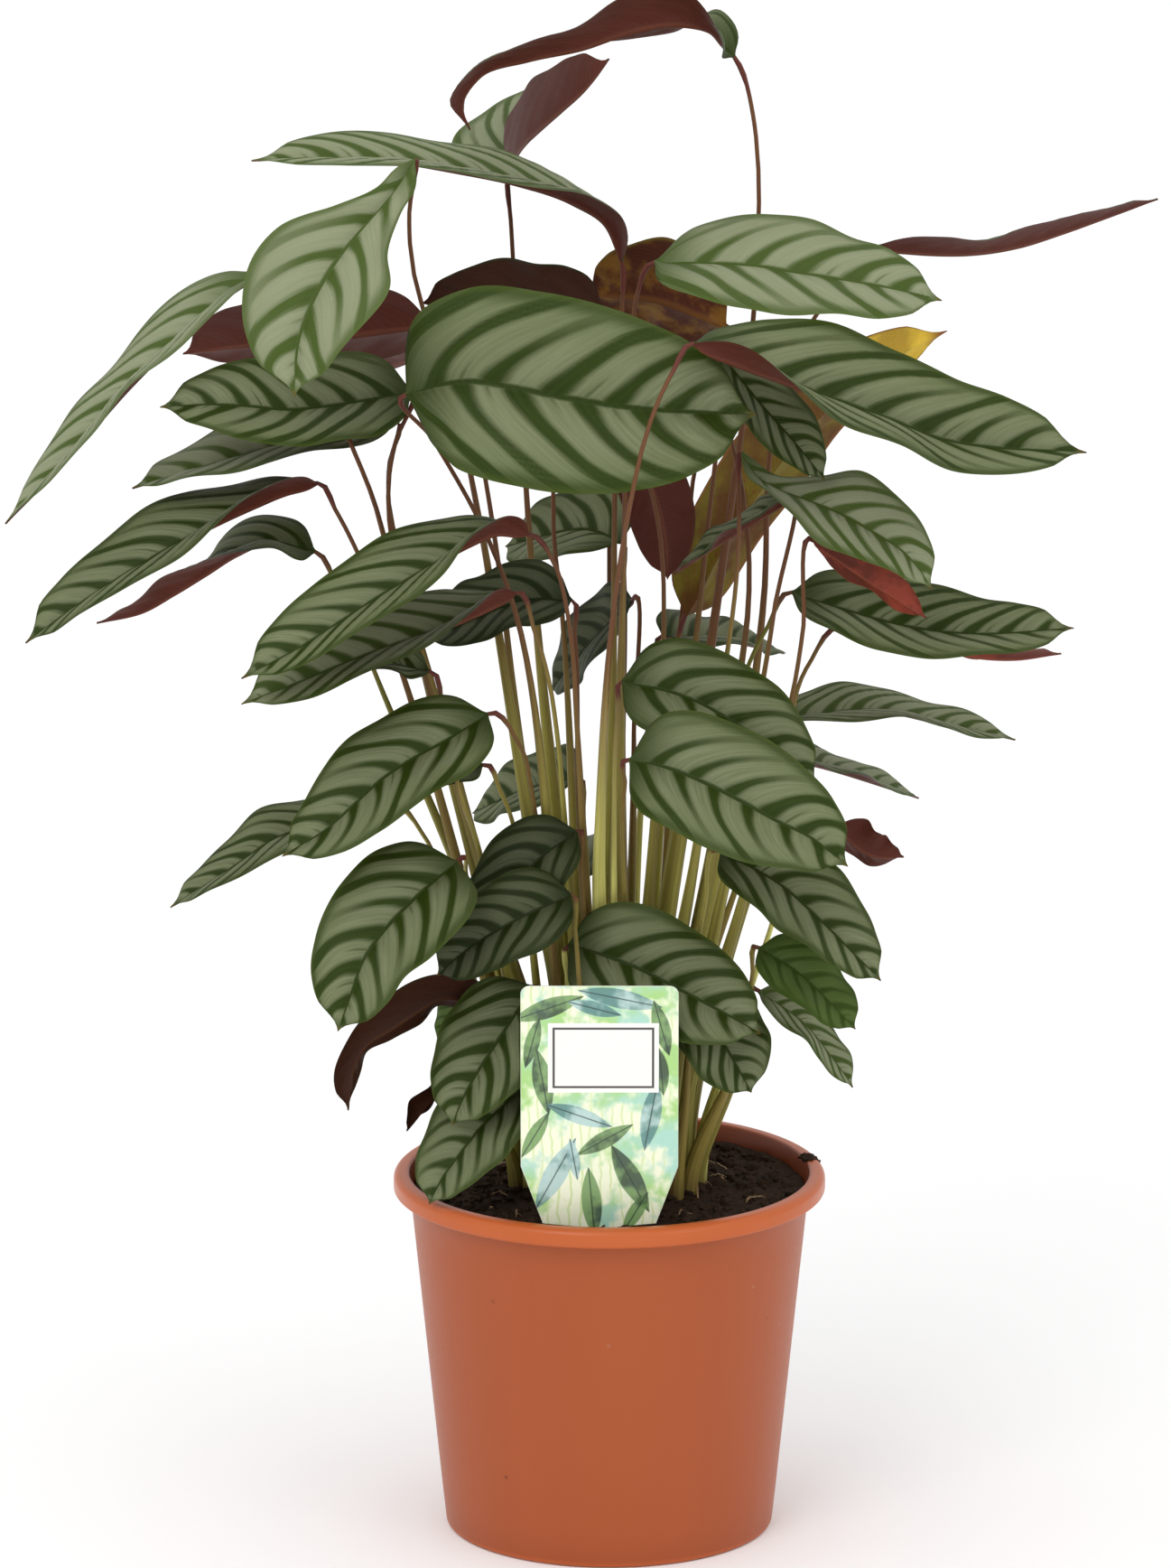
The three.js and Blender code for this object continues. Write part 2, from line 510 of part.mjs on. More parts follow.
// The points of a line that it can't do without, so that rings stand where a stalk bends
function bendsOf(points) {
  const ends = new THREE.Line3(points[0], points[points.length - 1]);
  let furthest = 0;
  let most = BEND_ALLOWED;
  points.forEach((point, index) => {
    const off = ends.closestPointToPoint(point, true, new THREE.Vector3()).distanceTo(point);
    if (off > most) {
      most = off;
      furthest = index;
    }
  });
  if (furthest === 0) return [points[0], points[points.length - 1]];
  return [...bendsOf(points.slice(0, furthest + 1)).slice(0, -1), ...bendsOf(points.slice(furthest))];
}

// Six points round the centre line: three above and three below, from one edge to the other
function stalkRing(centre, side, up, radius) {
  const wide = Math.sqrt(3) / 2;
  const corners = [[-wide, 0.5], [0, 1], [wide, 0.5], [wide, -0.5], [0, -1], [-wide, -0.5]];
  return corners.map(([across, above]) => centre.clone()
    .addScaledVector(side, across * radius).addScaledVector(up, above * radius));
}

function bladeRing(centre, side, up, halfWidth, share, leaf, index) {
  const fold = THREE.MathUtils.degToRad(leaf.fold ?? USUAL_FOLD);
  const calm = Math.min(1, WAVE_CALM * share * (1 - share));
  const edge = (across) => {
    const shift = WAVE_TURN_PER_LEAF * index + WAVE_TURN_ACROSS * across;
    const turns = WAVES_PER_EDGE * share + shift;
    const wave = EDGE_WAVE * calm * Math.sin(2 * Math.PI * turns);
    return centre.clone()
      .addScaledVector(side, across * halfWidth * Math.cos(fold))
      .addScaledVector(up, halfWidth * Math.sin(fold) + wave);
  };
  const line = [edge(-1), centre.clone(), edge(1)];
  const ribDepth = BLADE_HALF_THICKNESS + (STALK_TOP_RADIUS - BLADE_HALF_THICKNESS) * (1 - share);
  const below = [BLADE_HALF_THICKNESS, ribDepth, BLADE_HALF_THICKNESS];
  const upper = line.map((point) => point.clone().addScaledVector(up, BLADE_HALF_THICKNESS));
  const lower = line.map((point, place) => point.clone().addScaledVector(up, -below[place]));
  return [...upper, ...lower.reverse()];
}

// Which way a line runs at each of its points
function tangentsOf(centres) {
  return centres.map((centre, place) => {
    const after = centres[Math.min(place + 1, centres.length - 1)].clone().sub(centre);
    const before = centre.clone().sub(centres[Math.max(place - 1, 0)]);
    return after.normalize().add(before.normalize()).normalize();
  });
}

function acrossFrom(up, tangent) {
  up.addScaledVector(tangent, -up.dot(tangent)).normalize();
  return tangent.clone().cross(up);
}

// A rolled base opens out over as much of the blade again as it takes
function openShare(leaf, share) {
  if (!leaf.neck) return 1;
  const [end, width] = leaf.neck;
  return width + (1 - width) * THREE.MathUtils.smoothstep(share, 0.5 * end, 1.5 * end);
}

function bladeRings(leaf, index) {
  const centres = alongCurve(leaf.rib.map(sight), [0, ...BLADE_OUTLINE.map(([share]) => share)]);
  const tangents = tangentsOf(centres);
  return BLADE_OUTLINE.map(([share, width], place) => {
    const up = faceAt(leaf.face, share);
    const side = acrossFrom(up, tangents[place + 1]);
    const half = 0.5 * leaf.width * width * openShare(leaf, share);
    return bladeRing(centres[place + 1], side, up, half, share, leaf, index);
  });
}

// A leaf as rings from the sunk foot of its stalk to the tip of its blade
function leafRings(leaf, index, levels, blade) {
  const base = sight(leaf.rib[0]);
  const bladeStart = blade[0][1].clone();
  const open = levels.filter((point) => point.z < base.z - NECK);
  const stalk = bendsOf([...open, base]);
  const foot = stalk[0].clone();
  foot.z = SOIL_TOP - SUNK_DEPTH;
  const centres = [foot, ...stalk];
  const tangents = tangentsOf([...centres, bladeStart]);
  tangents[0].set(0, 0, 1);
  tangents[1].set(0, 0, 1);
  const rings = [];
  const up = faceAt(leaf.face, 0);
  for (let place = centres.length - 1; place >= 0; place -= 1) {
    const side = acrossFrom(up, tangents[place]);
    const share = Math.max(0, (centres[place].z - STALK_START) / (base.z - STALK_START));
    rings[place] = stalkRing(centres[place], side, up, stalkRadius(leaf, share));
  }
  return [...rings, ...blade];
}

// A closed skin over the rings, split alike above and below
function skinRings(rings) {
  const count = rings[0].length;
  const faces = [];
  for (let ring = 0; ring < rings.length - 1; ring += 1) {
    for (let corner = 0; corner < count; corner += 1) {
      const next = (corner + 1) % count;
      const a = ring * count + corner;
      const b = ring * count + next;
      const c = a + count;
      const d = b + count;
      if (corner < count / 2) faces.push(a, d, c, a, b, d);
      else faces.push(a, b, c, b, d, c);
    }
  }
  for (let corner = 1; corner < count - 1; corner += 1) {
    const last = (rings.length - 1) * count;
    faces.push(0, corner + 1, corner);
    faces.push(last, last + corner, last + corner + 1);
  }
  const geometry = new THREE.BufferGeometry();
  const places = rings.flat().flatMap((point) => [point.x, point.y, point.z]);
  geometry.setAttribute('position', new THREE.Float32BufferAttribute(places, 3));
  geometry.setIndex(faces);
  return geometry;
}

function solidOf(geometry) {
  const bare = geometry.clone();
  bare.deleteAttribute('normal');
  bare.deleteAttribute('uv');
  const merged = mergeVertices(bare, MERGE_DISTANCE);
  return new wasm.Manifold(new wasm.Mesh({
    numProp: 3,
    vertProperties: new Float32Array(merged.attributes.position.array),
    triVerts: new Uint32Array(merged.index.array),
  }));
}

function geometryOf(solid) {
  const mesh = solid.getMesh();
  const geometry = new THREE.BufferGeometry();
  geometry.setAttribute('position', new THREE.Float32BufferAttribute(mesh.vertProperties, 3));
  geometry.setIndex([...mesh.triVerts]);
  return geometry;
}

function spin(profile) {
  const points = profile.map(([radius, height]) => new THREE.Vector2(radius, height));
  const geometry = new THREE.LatheGeometry(points, POT_SIDES);
  return geometry.rotateX(Math.PI / 2);
}

// Inner radius of the pot at a height
function innerRadius(height) {
  const share = height / (POT_HEIGHT - LIP_HEIGHT);
  return FOOT_RADIUS + (SHOULDER_RADIUS - FOOT_RADIUS) * share - POT_WALL;
}

// The rounded top of the lip, from outside to inside
function lipRound() {
  const points = [];
  for (let step = 0; step <= LIP_STEPS; step += 1) {
    const angle = (Math.PI / 2) * (step / LIP_STEPS);
    points.push([
      LIP_RADIUS - LIP_ROUND * (1 - Math.cos(angle)),
      POT_HEIGHT - LIP_ROUND * (1 - Math.sin(angle)),
    ]);
  }
  return points;
}

function makePot() {
  const under = POT_HEIGHT - LIP_HEIGHT;
  const shell = spin([
    [0, 0], [FOOT_RADIUS - EDGE_BEVEL, 0], [FOOT_RADIUS, EDGE_BEVEL], [SHOULDER_RADIUS, under],
    [LIP_RADIUS - EDGE_BEVEL, under], [LIP_RADIUS, under + EDGE_BEVEL], ...lipRound(),
    [LIP_RADIUS - LIP_THICKNESS, POT_HEIGHT], [innerRadius(under), under - LIP_ROUND],
    [innerRadius(POT_FLOOR), POT_FLOOR], [0, POT_FLOOR],
  ]);
  let pot = solidOf(shell);
  for (let drain = 0; drain < DRAIN_COUNT; drain += 1) {
    const angle = (2 * Math.PI * drain) / DRAIN_COUNT;
    const punch = new THREE.CylinderGeometry(
      DRAIN_RADIUS, DRAIN_RADIUS, 4 * POT_FLOOR, DRAIN_SIDES);
    punch.rotateX(Math.PI / 2);
    punch.translate(DRAIN_CIRCLE * Math.cos(angle), DRAIN_CIRCLE * Math.sin(angle), 0);
    pot = pot.subtract(solidOf(punch));
  }
  return geometryOf(pot);
}

// The tag's outline, drawn from its stake's point up, with zero at the soil
function tagShape(grow) {
  const half = TAG_WIDTH / 2 + grow;
  const waist = TAG_WAIST_WIDTH / 2 + grow;
  const stake = TAG_STAKE_WIDTH / 2 + grow;
  const shape = new THREE.Shape();
  shape.moveTo(-TAG_POINT_WIDTH / 2, -TAG_STAKE_DEPTH - grow);
  shape.lineTo(TAG_POINT_WIDTH / 2, -TAG_STAKE_DEPTH - grow);
  shape.lineTo(stake, TAG_POINT_LENGTH - TAG_STAKE_DEPTH);
  shape.lineTo(stake, TAG_STAKE_TOP);
  shape.lineTo(waist, TAG_WAIST);
  shape.lineTo(half, TAG_SHOULDER);
  shape.lineTo(half, TAG_ABOVE_SOIL - TAG_CORNER);
  shape.absarc(half - TAG_CORNER, TAG_ABOVE_SOIL - TAG_CORNER, TAG_CORNER, 0, Math.PI / 2);
  shape.absarc(TAG_CORNER - half, TAG_ABOVE_SOIL - TAG_CORNER, TAG_CORNER, Math.PI / 2, Math.PI);
  shape.lineTo(-half, TAG_SHOULDER);
  shape.lineTo(-waist, TAG_WAIST);
  shape.lineTo(-stake, TAG_STAKE_TOP);
  shape.lineTo(-stake, TAG_POINT_LENGTH - TAG_STAKE_DEPTH);
  shape.closePath();
  return shape;
}

function makeTag(grow = 0) {
  const depth = TAG_THICKNESS + 2 * grow;
  const plate = new THREE.ExtrudeGeometry(tagShape(grow), {
    depth, bevelEnabled: false, curveSegments: TAG_CORNER_STEPS });
  plate.translate(0, 0, -depth / 2);
  plate.rotateX(Math.PI / 2 + TAG_LEAN);
  plate.translate(TAG_PLACE.x, TAG_PLACE.y, TAG_PLACE.z);
  return plate;
}

// A plain hole round a stalk's sunk foot
function holeFor(rings) {
  const centre = rings[0].reduce((sum, point) => sum.add(point), new THREE.Vector3());
  centre.divideScalar(rings[0].length);
  const bottom = rings[0].map((point) => {
    const wide = point.clone().sub(centre);
    wide.setLength(wide.length() + HOLE_GAP).add(centre);
    wide.z -= TOUCH_GAP;
    return wide;
  });
  const top = bottom.map((point) => point.clone().setZ(SOIL_TOP + 4 * SOIL_CROWN));
  return skinRings([bottom, top]);
}

function makeSoil(leafRingSets) {
  const side = (height) => (innerRadius(height) - TOUCH_GAP);
  const low = POT_FLOOR + TOUCH_GAP;
  const rise = SOIL_RISE.map(([inward, share]) => (
    [side(SOIL_TOP) - inward, SOIL_TOP + share * SOIL_CROWN]));
  let soil = solidOf(spin([
    [0, low], [side(low) - EDGE_BEVEL, low], [side(low + EDGE_BEVEL), low + EDGE_BEVEL],
    [side(SOIL_TOP), SOIL_TOP - EDGE_BEVEL], ...rise, [0, SOIL_TOP + SOIL_CROWN],
  ]));
  for (const rings of leafRingSets) soil = soil.subtract(solidOf(holeFor(rings)));
  soil = soil.subtract(solidOf(makeTag(TOUCH_GAP)));
  return geometryOf(soil);
}

function material(colour, roughness) {
  return new THREE.MeshStandardMaterial({ color: colour, roughness, metalness: 0 });
}

const potMaterial = material(0xb0613e, 0.5);
const soilMaterial = material(0x2c211c, 0.95);
const tagMaterial = material(0xa9d6bd, 0.4);
const leafMaterial = material(0x5f7d4d, 0.55);

const plant = new THREE.Group();

function add(name, geometry, look) {
  const mesh = new THREE.Mesh(geometry, look);
  mesh.name = name;
  plant.add(mesh);
}

const roots = placeRoots(LEAVES);
const blades = LEAVES.map(bladeRings);
const straight = LEAVES.map((leaf, index) => stalkLevels(leaf, roots[index]));
const stalks = settleStalks(LEAVES, straight, blades.map(bladePoints));
const leafRingSets = LEAVES.map((leaf, index) => (
  leafRings(leaf, index, stalks[index], blades[index])));

add('pot', makePot(), potMaterial);
add('soil', makeSoil(leafRingSets), soilMaterial);
add('tag', makeTag(), tagMaterial);
leafRingSets.forEach((rings, index) => {
  add(`leaf_${String(index + 1).padStart(2, '0')}`, skinRings(rings), leafMaterial);
});

export default plant;
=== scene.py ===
# A potted ctenanthe: finely patterned leaves on long stalks, crumbly soil, a plastic grower's pot
# and a plain plant tag, built around the solids that hold their places. Metres, +Z up.

import math
import random

import bmesh
import bpy
import numpy as np
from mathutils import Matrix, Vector, noise


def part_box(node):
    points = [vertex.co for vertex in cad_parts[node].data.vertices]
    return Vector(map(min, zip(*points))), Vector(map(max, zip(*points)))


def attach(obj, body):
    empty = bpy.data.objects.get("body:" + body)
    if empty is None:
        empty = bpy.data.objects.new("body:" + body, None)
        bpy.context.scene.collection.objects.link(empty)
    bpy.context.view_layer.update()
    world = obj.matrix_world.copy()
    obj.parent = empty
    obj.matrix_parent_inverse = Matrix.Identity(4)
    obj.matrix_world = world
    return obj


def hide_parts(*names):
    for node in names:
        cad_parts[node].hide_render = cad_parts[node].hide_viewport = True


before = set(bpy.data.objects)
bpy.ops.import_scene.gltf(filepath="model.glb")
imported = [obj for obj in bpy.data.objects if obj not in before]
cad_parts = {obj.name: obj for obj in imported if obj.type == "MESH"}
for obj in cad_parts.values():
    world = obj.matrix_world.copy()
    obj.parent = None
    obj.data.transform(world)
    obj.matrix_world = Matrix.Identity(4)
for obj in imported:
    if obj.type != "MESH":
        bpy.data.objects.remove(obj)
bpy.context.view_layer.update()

MM = 0.001
LEAF_SEED = 7
SOIL_SEED = 19
TURN = 2 * math.pi

# The camera stands where the photograph was taken from
EYE = Vector((-9.4, -4000, 1308.5)) * MM
EYE_TILT = math.radians(14.15)
LENS = 242.8
SENSOR = 36

# The blade's fine surface
BLADE_RINGS = 70
SOFT_RINGS = 4
RING_CROWDING = 0.35
HALF_STEPS = 11
EDGE_CROWDING = 1.25
BLADE_HALF_THICKNESS = 0.22 * MM
RIB_WIDTH = 1.5 * MM
RIB_DEPTH = 1.3 * MM
RIB_TAPER = 0.8
RIB_GROOVE = 0.5 * MM
ARCH = 0.08
RELIEF = 0.4 * MM
BASE_BLEND = 0.24
EDGE_RIPPLE = 0.4 * MM
EDGE_RIPPLES = 3.5
RIPPLE_SHIFT = 3.7
RIPPLE_START = (0.04, 0.25)
RIPPLE_END = (0.85, 1)
FULL_HALF_WIDTH = 20 * MM

# The bands: how far each way out they sweep toward the tip, how many there are a side, and how
# much they wander
SWEEP = 0.6
SWEEP_BEND = 0.8
LEAST_BANDS = 2.2
BANDS_FOR_LENGTH = 2
BANDS_VARY = 0.4
BROAD = 2
MOST_SLIM = 3.6
WANDER = 0.2
PHASE_SCALE = 20
JUST_RIGHT = 1e-6

# The stalk's fine surface
STALK_RINGS = 34
STALK_SLIMMING = 0.28
SLIMMING_SPAN = (0.4, 0.8)
NECK_RINGS = 8
NECK_LENGTH = 34 * MM
JOINT_LENGTH = 13 * MM
JOINT_SWELL = 0.3
JOINT_ROUNDING = 0.2
SHEATH_SWELL = 0.16
SHEATH_END = 0.42
SHEATH_FADE = 0.1
SHEATH_RIDGES = 5
RIDGE_DEPTH = 0.05

# How the leaves' solids are ringed
BLADE_RING_COUNT = 9
RING_POINTS = 6

# The tip's last part draws out to a point
POINT_START = 0.9
POINT_END = 0.985
POINT_LOSS = 0.6

# The numbers of the leaves that don't look like the rest
BRONZE = {12, 45, 49}
COPPER = {13}
RUBY = {20, 22}
FADING = {17}
SHADED = {36, 42, 43, 53}
PLAIN_GREEN = {30, 46}
# Leaves whose blades are painted lighter, as painted light
PAINTED_LIGHT_LEAVES = {2, 3, 4, 5, 8, 14, 19, 23, 24, 31, 35}
# Sheaths painted lighter, as painted light on those in front
PAINTED_LIGHT_SHEATHS = {16, 25, 26, 29, 32}
USUAL_TONES = (0.5, 0.72)
UNUSUAL_TONES = ((SHADED, (0.1, 0.18)), (PLAIN_GREEN, (0.34, 0.4)), (PAINTED_LIGHT_LEAVES, (0.85, 1)))
GREEN_STALKS = {10, 21, 28, 30, 33, 43, 47}


def srgb(red, green, blue):
    """A colour given as the screen shows it, from 0 to 255, as the light that it stands for"""
    def light(value):
        value = value / 255
        return value / 12.92 if value <= 0.04045 else ((value + 0.055) / 1.055) ** 2.4
    return (light(red), light(green), light(blue), 1)


def darker(colour, share):
    return [channel * share for channel in srgb(*colour)[:3]] + [1]


class Look:
    """A material's nodes, made one call a node"""

    def __init__(self, name):
        self.material = bpy.data.materials.new(name)
        self.material.use_nodes = True
        self.nodes = self.material.node_tree.nodes
        self.links = self.material.node_tree.links
        self.shader = self.nodes["Principled BSDF"]

    def put(self, socket, value):
        """Put in a link, a number, or a colour, whose three numbers are as in srgb"""
        if isinstance(value, bpy.types.NodeSocket):
            self.links.new(value, socket)
            return
        if isinstance(value, tuple) and len(value) == 3:
            value = srgb(*value)
        socket.default_value = value

    def add(self, kind, *values, **named):
        """A node with values in its first inputs and in those that are named"""
        node = self.nodes.new("ShaderNode" + kind)
        for key, value in [*enumerate(values), *named.items()]:
            self.put(node.inputs[key], value)
        return node

    def math(self, operation, *values):
        node = self.add("Math", *values)
        node.operation = operation
        return node.outputs[0]

    def step(self, value, low, high, above=1.0, below=0.0):
        """below up to low, above from high on, and smooth between"""
        node = self.add("MapRange", value, low, high, below, above)
        node.interpolation_type = "SMOOTHSTEP"
        return node.outputs["Result"]

    def away(self, value, low, high, below=1.0):
        """below up to low, 0 from high on, and smooth between"""
        return self.step(value, low, high, 0.0, below)

    def line(self, value, slope, start):
        """value times slope, plus start"""
        return self.math("MULTIPLY_ADD", value, slope, start)

    def less(self, value, part):
        """value minus part"""
        return self.math("SUBTRACT", value, part)

    def chain(self, operation, found, *values):
        for value in values:
            found = self.math(operation, found, value)
        return found

    def most(self, *values):
        """The greatest of several numbers"""
        return self.chain("MAXIMUM", *values)

    def plus(self, *values):
        """The sum of several numbers"""
        return self.chain("ADD", *values)

    def times(self, *values):
        """The product of several numbers"""
        return self.chain("MULTIPLY", *values)

    def mix(self, share, first, second):
        """A colour between two"""
        node = self.add("Mix", share)
        node.data_type = "RGBA"
        self.put(node.inputs[6], first)
        self.put(node.inputs[7], second)
        return node.outputs[2]

    def coat(self, colour, *coats):
        """A colour under coats, each a share and a tint"""
        for share, tint in coats:
            colour = self.mix(share, colour, tint)
        return colour

    def join(self, *values):
        return self.add("CombineXYZ", *values).outputs[0]

    def split(self, vector):
        return self.add("SeparateXYZ", vector).outputs

    def noise(self, vector, scale, detail=2.0, roughness=0.5):
        node = self.add("TexNoise", vector, Scale=scale, Detail=detail, Roughness=roughness)
        return node.outputs["Fac"]

    def spots(self, vector, scale):
        """How far a point is from the nearest of some scattered ones"""
        return self.add("TexVoronoi", vector, Scale=scale).outputs["Distance"]

    def chance(self, vector):
        """A number from 0 to 1 that differs from point to point"""
        node = self.add("TexWhiteNoise", vector)
        node.noise_dimensions = "3D"
        return node.outputs["Value"]

    def map(self, name):
        node = self.add("UVMap")
        node.uv_map = name
        return self.split(node.outputs[0])

    def place(self):
        return self.add("TexCoord").outputs["Object"]

    def bump(self, height, depth, strength):
        node = self.add("Bump", Strength=strength, Distance=depth, Height=height)
        self.put(self.shader.inputs["Normal"], node.outputs[0])

    def finish(self, colour, roughness, specular=0.5):
        for name, value in (("Base Color", colour), ("Roughness", roughness),
                            ("Specular IOR Level", specular)):
            self.put(self.shader.inputs[name], value)
        return self.material


class BladeMarks:
    """Where a point lies on a blade, and in the pattern of its side veins"""

    def __init__(self, look):
        self.along, aside, _ = look.map("place")
        phase, self.tone, _ = look.map("growth")
        offset = look.line(aside, 2.0, -1.0)
        self.across = look.math("ABSOLUTE", offset)
        self.side = look.math("GREATER_THAN", offset, 0.0)
        self.phase = look.times(phase, PHASE_SCALE)
        self.seed = look.times(self.tone, 40.0)


def upper_pattern(look, marks, streak):
    """How dark green a point of the upper side is, from 0 to 1"""
    gap = look.times(look.math("PINGPONG", marks.phase, 0.5), 2.0)
    turn = look.math("FLOOR", look.plus(marks.phase, 0.5))
    fate = look.chance(look.join(turn, marks.side, marks.seed))
    flare = look.away(marks.across, 0.0, 0.3, 0.12)
    spread = look.step(marks.across, 0.6, 1.0, 0.2)
    fringe = look.times(look.less(streak, 0.5), 0.4)
    usual = look.line(fate, 0.16, 0.25)
    half = look.plus(flare, spread, fringe, usual)
    band = look.away(gap, look.less(half, 0.19), look.plus(half, 0.19))
    fading = look.times(look.step(marks.across, 0.3, 0.85), look.away(fate, 0.2, 0.5))
    band = look.times(band, look.line(fading, -0.65, 1.0))
    number = look.math("FLOOR", marks.phase)
    reach = look.line(look.chance(look.join(number, marks.side, marks.seed)), 0.55, -0.1)
    narrow = look.line(marks.across, -0.1, 0.14)
    dash = look.away(look.less(1.0, gap), look.times(narrow, 0.2), narrow, 0.6)
    dash = look.times(dash, look.away(marks.across, look.less(reach, 0.25), reach))
    rib = look.away(marks.across, 0.015, 0.055)
    margin = look.step(marks.across, 0.76, 0.97, 0.85)
    tip = look.step(marks.along, 0.93, 0.99, 0.85)
    base = look.away(marks.along, 0.0, 0.22, 0.9)
    return look.most(band, dash, rib, margin, tip, base)


def vein_relief(look, marks):
    """Fine side veins and a slight grain"""
    turns = look.times(marks.phase, TURN * 6)
    veins = look.line(look.math("SINE", turns), 0.35, 0.5)
    grain = look.noise(look.place(), 900.0, 3.0)
    return look.line(grain, 0.6, veins)


def upper_material():
    look = Look("leaf_upper")
    marks = BladeMarks(look)
    streak_place = look.join(look.times(marks.phase, 8.0), marks.across, marks.seed)
    streak = look.noise(streak_place, 1.6, 3.0, 0.6)
    dark = upper_pattern(look, marks, streak)
    patch = look.noise(look.place(), 45.0, 2.0)
    plain = look.times(look.step(marks.tone, 0.22, 0.3), look.away(marks.tone, 0.42, 0.46))
    silver = look.coat(
        look.mix(streak, (78, 86, 54), (132, 138, 108)),
        (look.times(patch, 0.35), (96, 106, 66)),
        (look.step(marks.across, 0.4, 0.95, 0.4), (78, 92, 44)),
        (look.times(plain, 0.75), (70, 92, 32)))
    deep = look.coat(
        look.mix(streak, (26, 38, 2), (50, 66, 14)),
        (look.step(marks.across, 0.9, 1.0, 0.6), (64, 78, 24)))
    # Painted light: a paler blade colour, laid over the leaves with the highest tones
    pale = look.mix(dark, (160, 166, 136), (92, 112, 52))
    colour = look.coat(
        look.mix(dark, silver, deep),
        (look.times(plain, 0.4), (62, 86, 28)),
        (look.step(marks.tone, 0.7, 1.0, 0.4), pale),
        # Painted shade: the blades of the leaves with the lowest tones are darkened
        (look.away(marks.tone, 0.2, 0.3, 0.55), (8, 14, 2)),
        (look.step(marks.along, 0.965, 1.0, 0.7), (104, 84, 34)))
    look.bump(vein_relief(look, marks), 0.12 * MM, 0.7)
    return look.finish(colour, look.line(streak, 0.12, 0.44), specular=0.12)


def under_material(name, base, vein, edge_colour, patches=None):
    """The red-brown lower side, clouded with a darker shade of base or with patches"""
    look = Look(name)
    marks = BladeMarks(look)
    patch = look.noise(look.place(), 60.0, 4.0, 0.6)
    turns = look.times(marks.phase, TURN * 4)
    lines = look.step(look.line(look.math("SINE", turns), 0.5, 0.5), 0.8, 1.0, 0.14)
    rib = look.away(marks.across, 0.03, 0.09, 0.7)
    if patches:
        colour = look.mix(look.step(patch, 0.42, 0.6), patches, base)
    else:
        colour = look.mix(patch, darker(base, 0.62), base)
    colour = look.coat(colour, (look.most(lines, rib), vein),
                       (look.step(marks.across, 0.9, 1.0), edge_colour))
    look.bump(vein_relief(look, marks), 0.08 * MM, 0.5)
    return look.finish(colour, 0.5, specular=0.12)


def fading_material():
    """An old leaf, yellow with rusty speckles and a brown tip"""
    look = Look("leaf_fading")
    marks = BladeMarks(look)
    place = look.place()
    blotch = look.step(look.noise(place, 50.0, 3.0), 0.4, 0.62)
    speckle = look.away(look.spots(place, 420.0), 0.18, 0.34, 0.7)
    speckled = look.step(look.noise(place, 90.0), 0.42, 0.6)
    lit = look.times(look.line(blotch, 0.4, 0.5), look.step(marks.along, 0.62, 0.8))
    colour = look.coat(
        look.mix(blotch, (92, 58, 18), (114, 100, 26)),
        (look.times(speckle, speckled), (112, 62, 30)),
        (look.times(look.step(marks.along, 0.2, 0.6, 0.6), marks.side), (96, 62, 30)),
        (lit, (222, 186, 62)),
        (look.step(marks.along, 0.93, 1.0), (120, 60, 34)),
        (look.step(marks.across, 0.88, 1.0), (126, 80, 36)))
    look.bump(vein_relief(look, marks), 0.15 * MM, 0.8)
    return look.finish(colour, 0.5, specular=0.15)


def stalk_material(name, upper, joint):
    """Yellow-green at the sheath, upper further up, and joint just under the blade"""
    look = Look(name)
    share, round_it, _ = look.map("place")
    bright, tone, _ = look.map("growth")
    place = look.place()
    height = look.split(place)[2]
    seed = look.times(tone, 30.0)
    fibre_place = look.join(look.times(round_it, 26.0), look.times(height, 9.0), seed)
    fibre = look.noise(fibre_place, 1.0, 3.0, 0.65)
    turn = look.line(fibre, 0.08, look.line(tone, 0.12, 0.19))
    brown = look.step(height, look.less(turn, 0.05), look.plus(turn, 0.08))
    patch = look.noise(look.join(round_it, height, seed), 3.0)
    dull = look.chance(look.join(seed, seed, 0.0))
    # Painted light: the sheaths of some leaves are lightened, as if lit from the front
    painted_lit_sheath = look.mix(fibre, (184, 182, 74), (236, 234, 150))
    colour = look.coat(
        look.mix(fibre, (122, 116, 40), (196, 190, 98)),
        (look.step(patch, 0.35, 0.65, 0.5), (92, 74, 38)),
        (look.step(dull, 0.5, 0.8, 0.6), (112, 76, 44)),
        (look.times(bright, PHASE_SCALE, 0.88), painted_lit_sheath),
        (brown, look.mix(fibre, darker(upper, 0.6), upper)),
        (look.step(share, 0.955, 0.975), joint),
        (look.away(height, 0.136, 0.15, 0.55), (74, 48, 34)))
    look.bump(fibre, 0.25 * MM, 0.7)
    return look.finish(colour, 0.48, specular=0.2)


def around(radius, angle):
    """The place of a point at a distance from the axis"""
    return radius * math.cos(angle), radius * math.sin(angle)


def quad(low, high, first, second):
    """A face between the same two corners of a low ring and a high one"""
    return low + first, low + second, high + second, high + first


def new_mesh(name, points, faces):
    mesh = bpy.data.meshes.new(name)
    mesh.from_pydata(points, [], faces)
    return mesh


def add_object(name, data):
    made = bpy.data.objects.new(name, data)
    bpy.context.scene.collection.objects.link(made)
    return made


def declare(piece, slot, *nodes):
    """What a piece rides on, and the nodes whose place it takes; slot is not used"""
    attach(piece, "root")
    if nodes:
        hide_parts(*nodes)


def read_node(name):
    """A node's corner places without copies, and the corners that each shares an edge with"""
    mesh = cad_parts[name].data
    places = np.array([corner.co for corner in mesh.vertices], float)
    unique, index = np.unique(np.round(places, 7), axis=0, return_inverse=True)
    index = index.reshape(-1)
    links = [set() for _ in unique]
    for edge in mesh.edges:
        first, second = (int(index[corner]) for corner in edge.vertices)
        if first != second:
            links[first].add(second)
            links[second].add(first)
    return unique, links


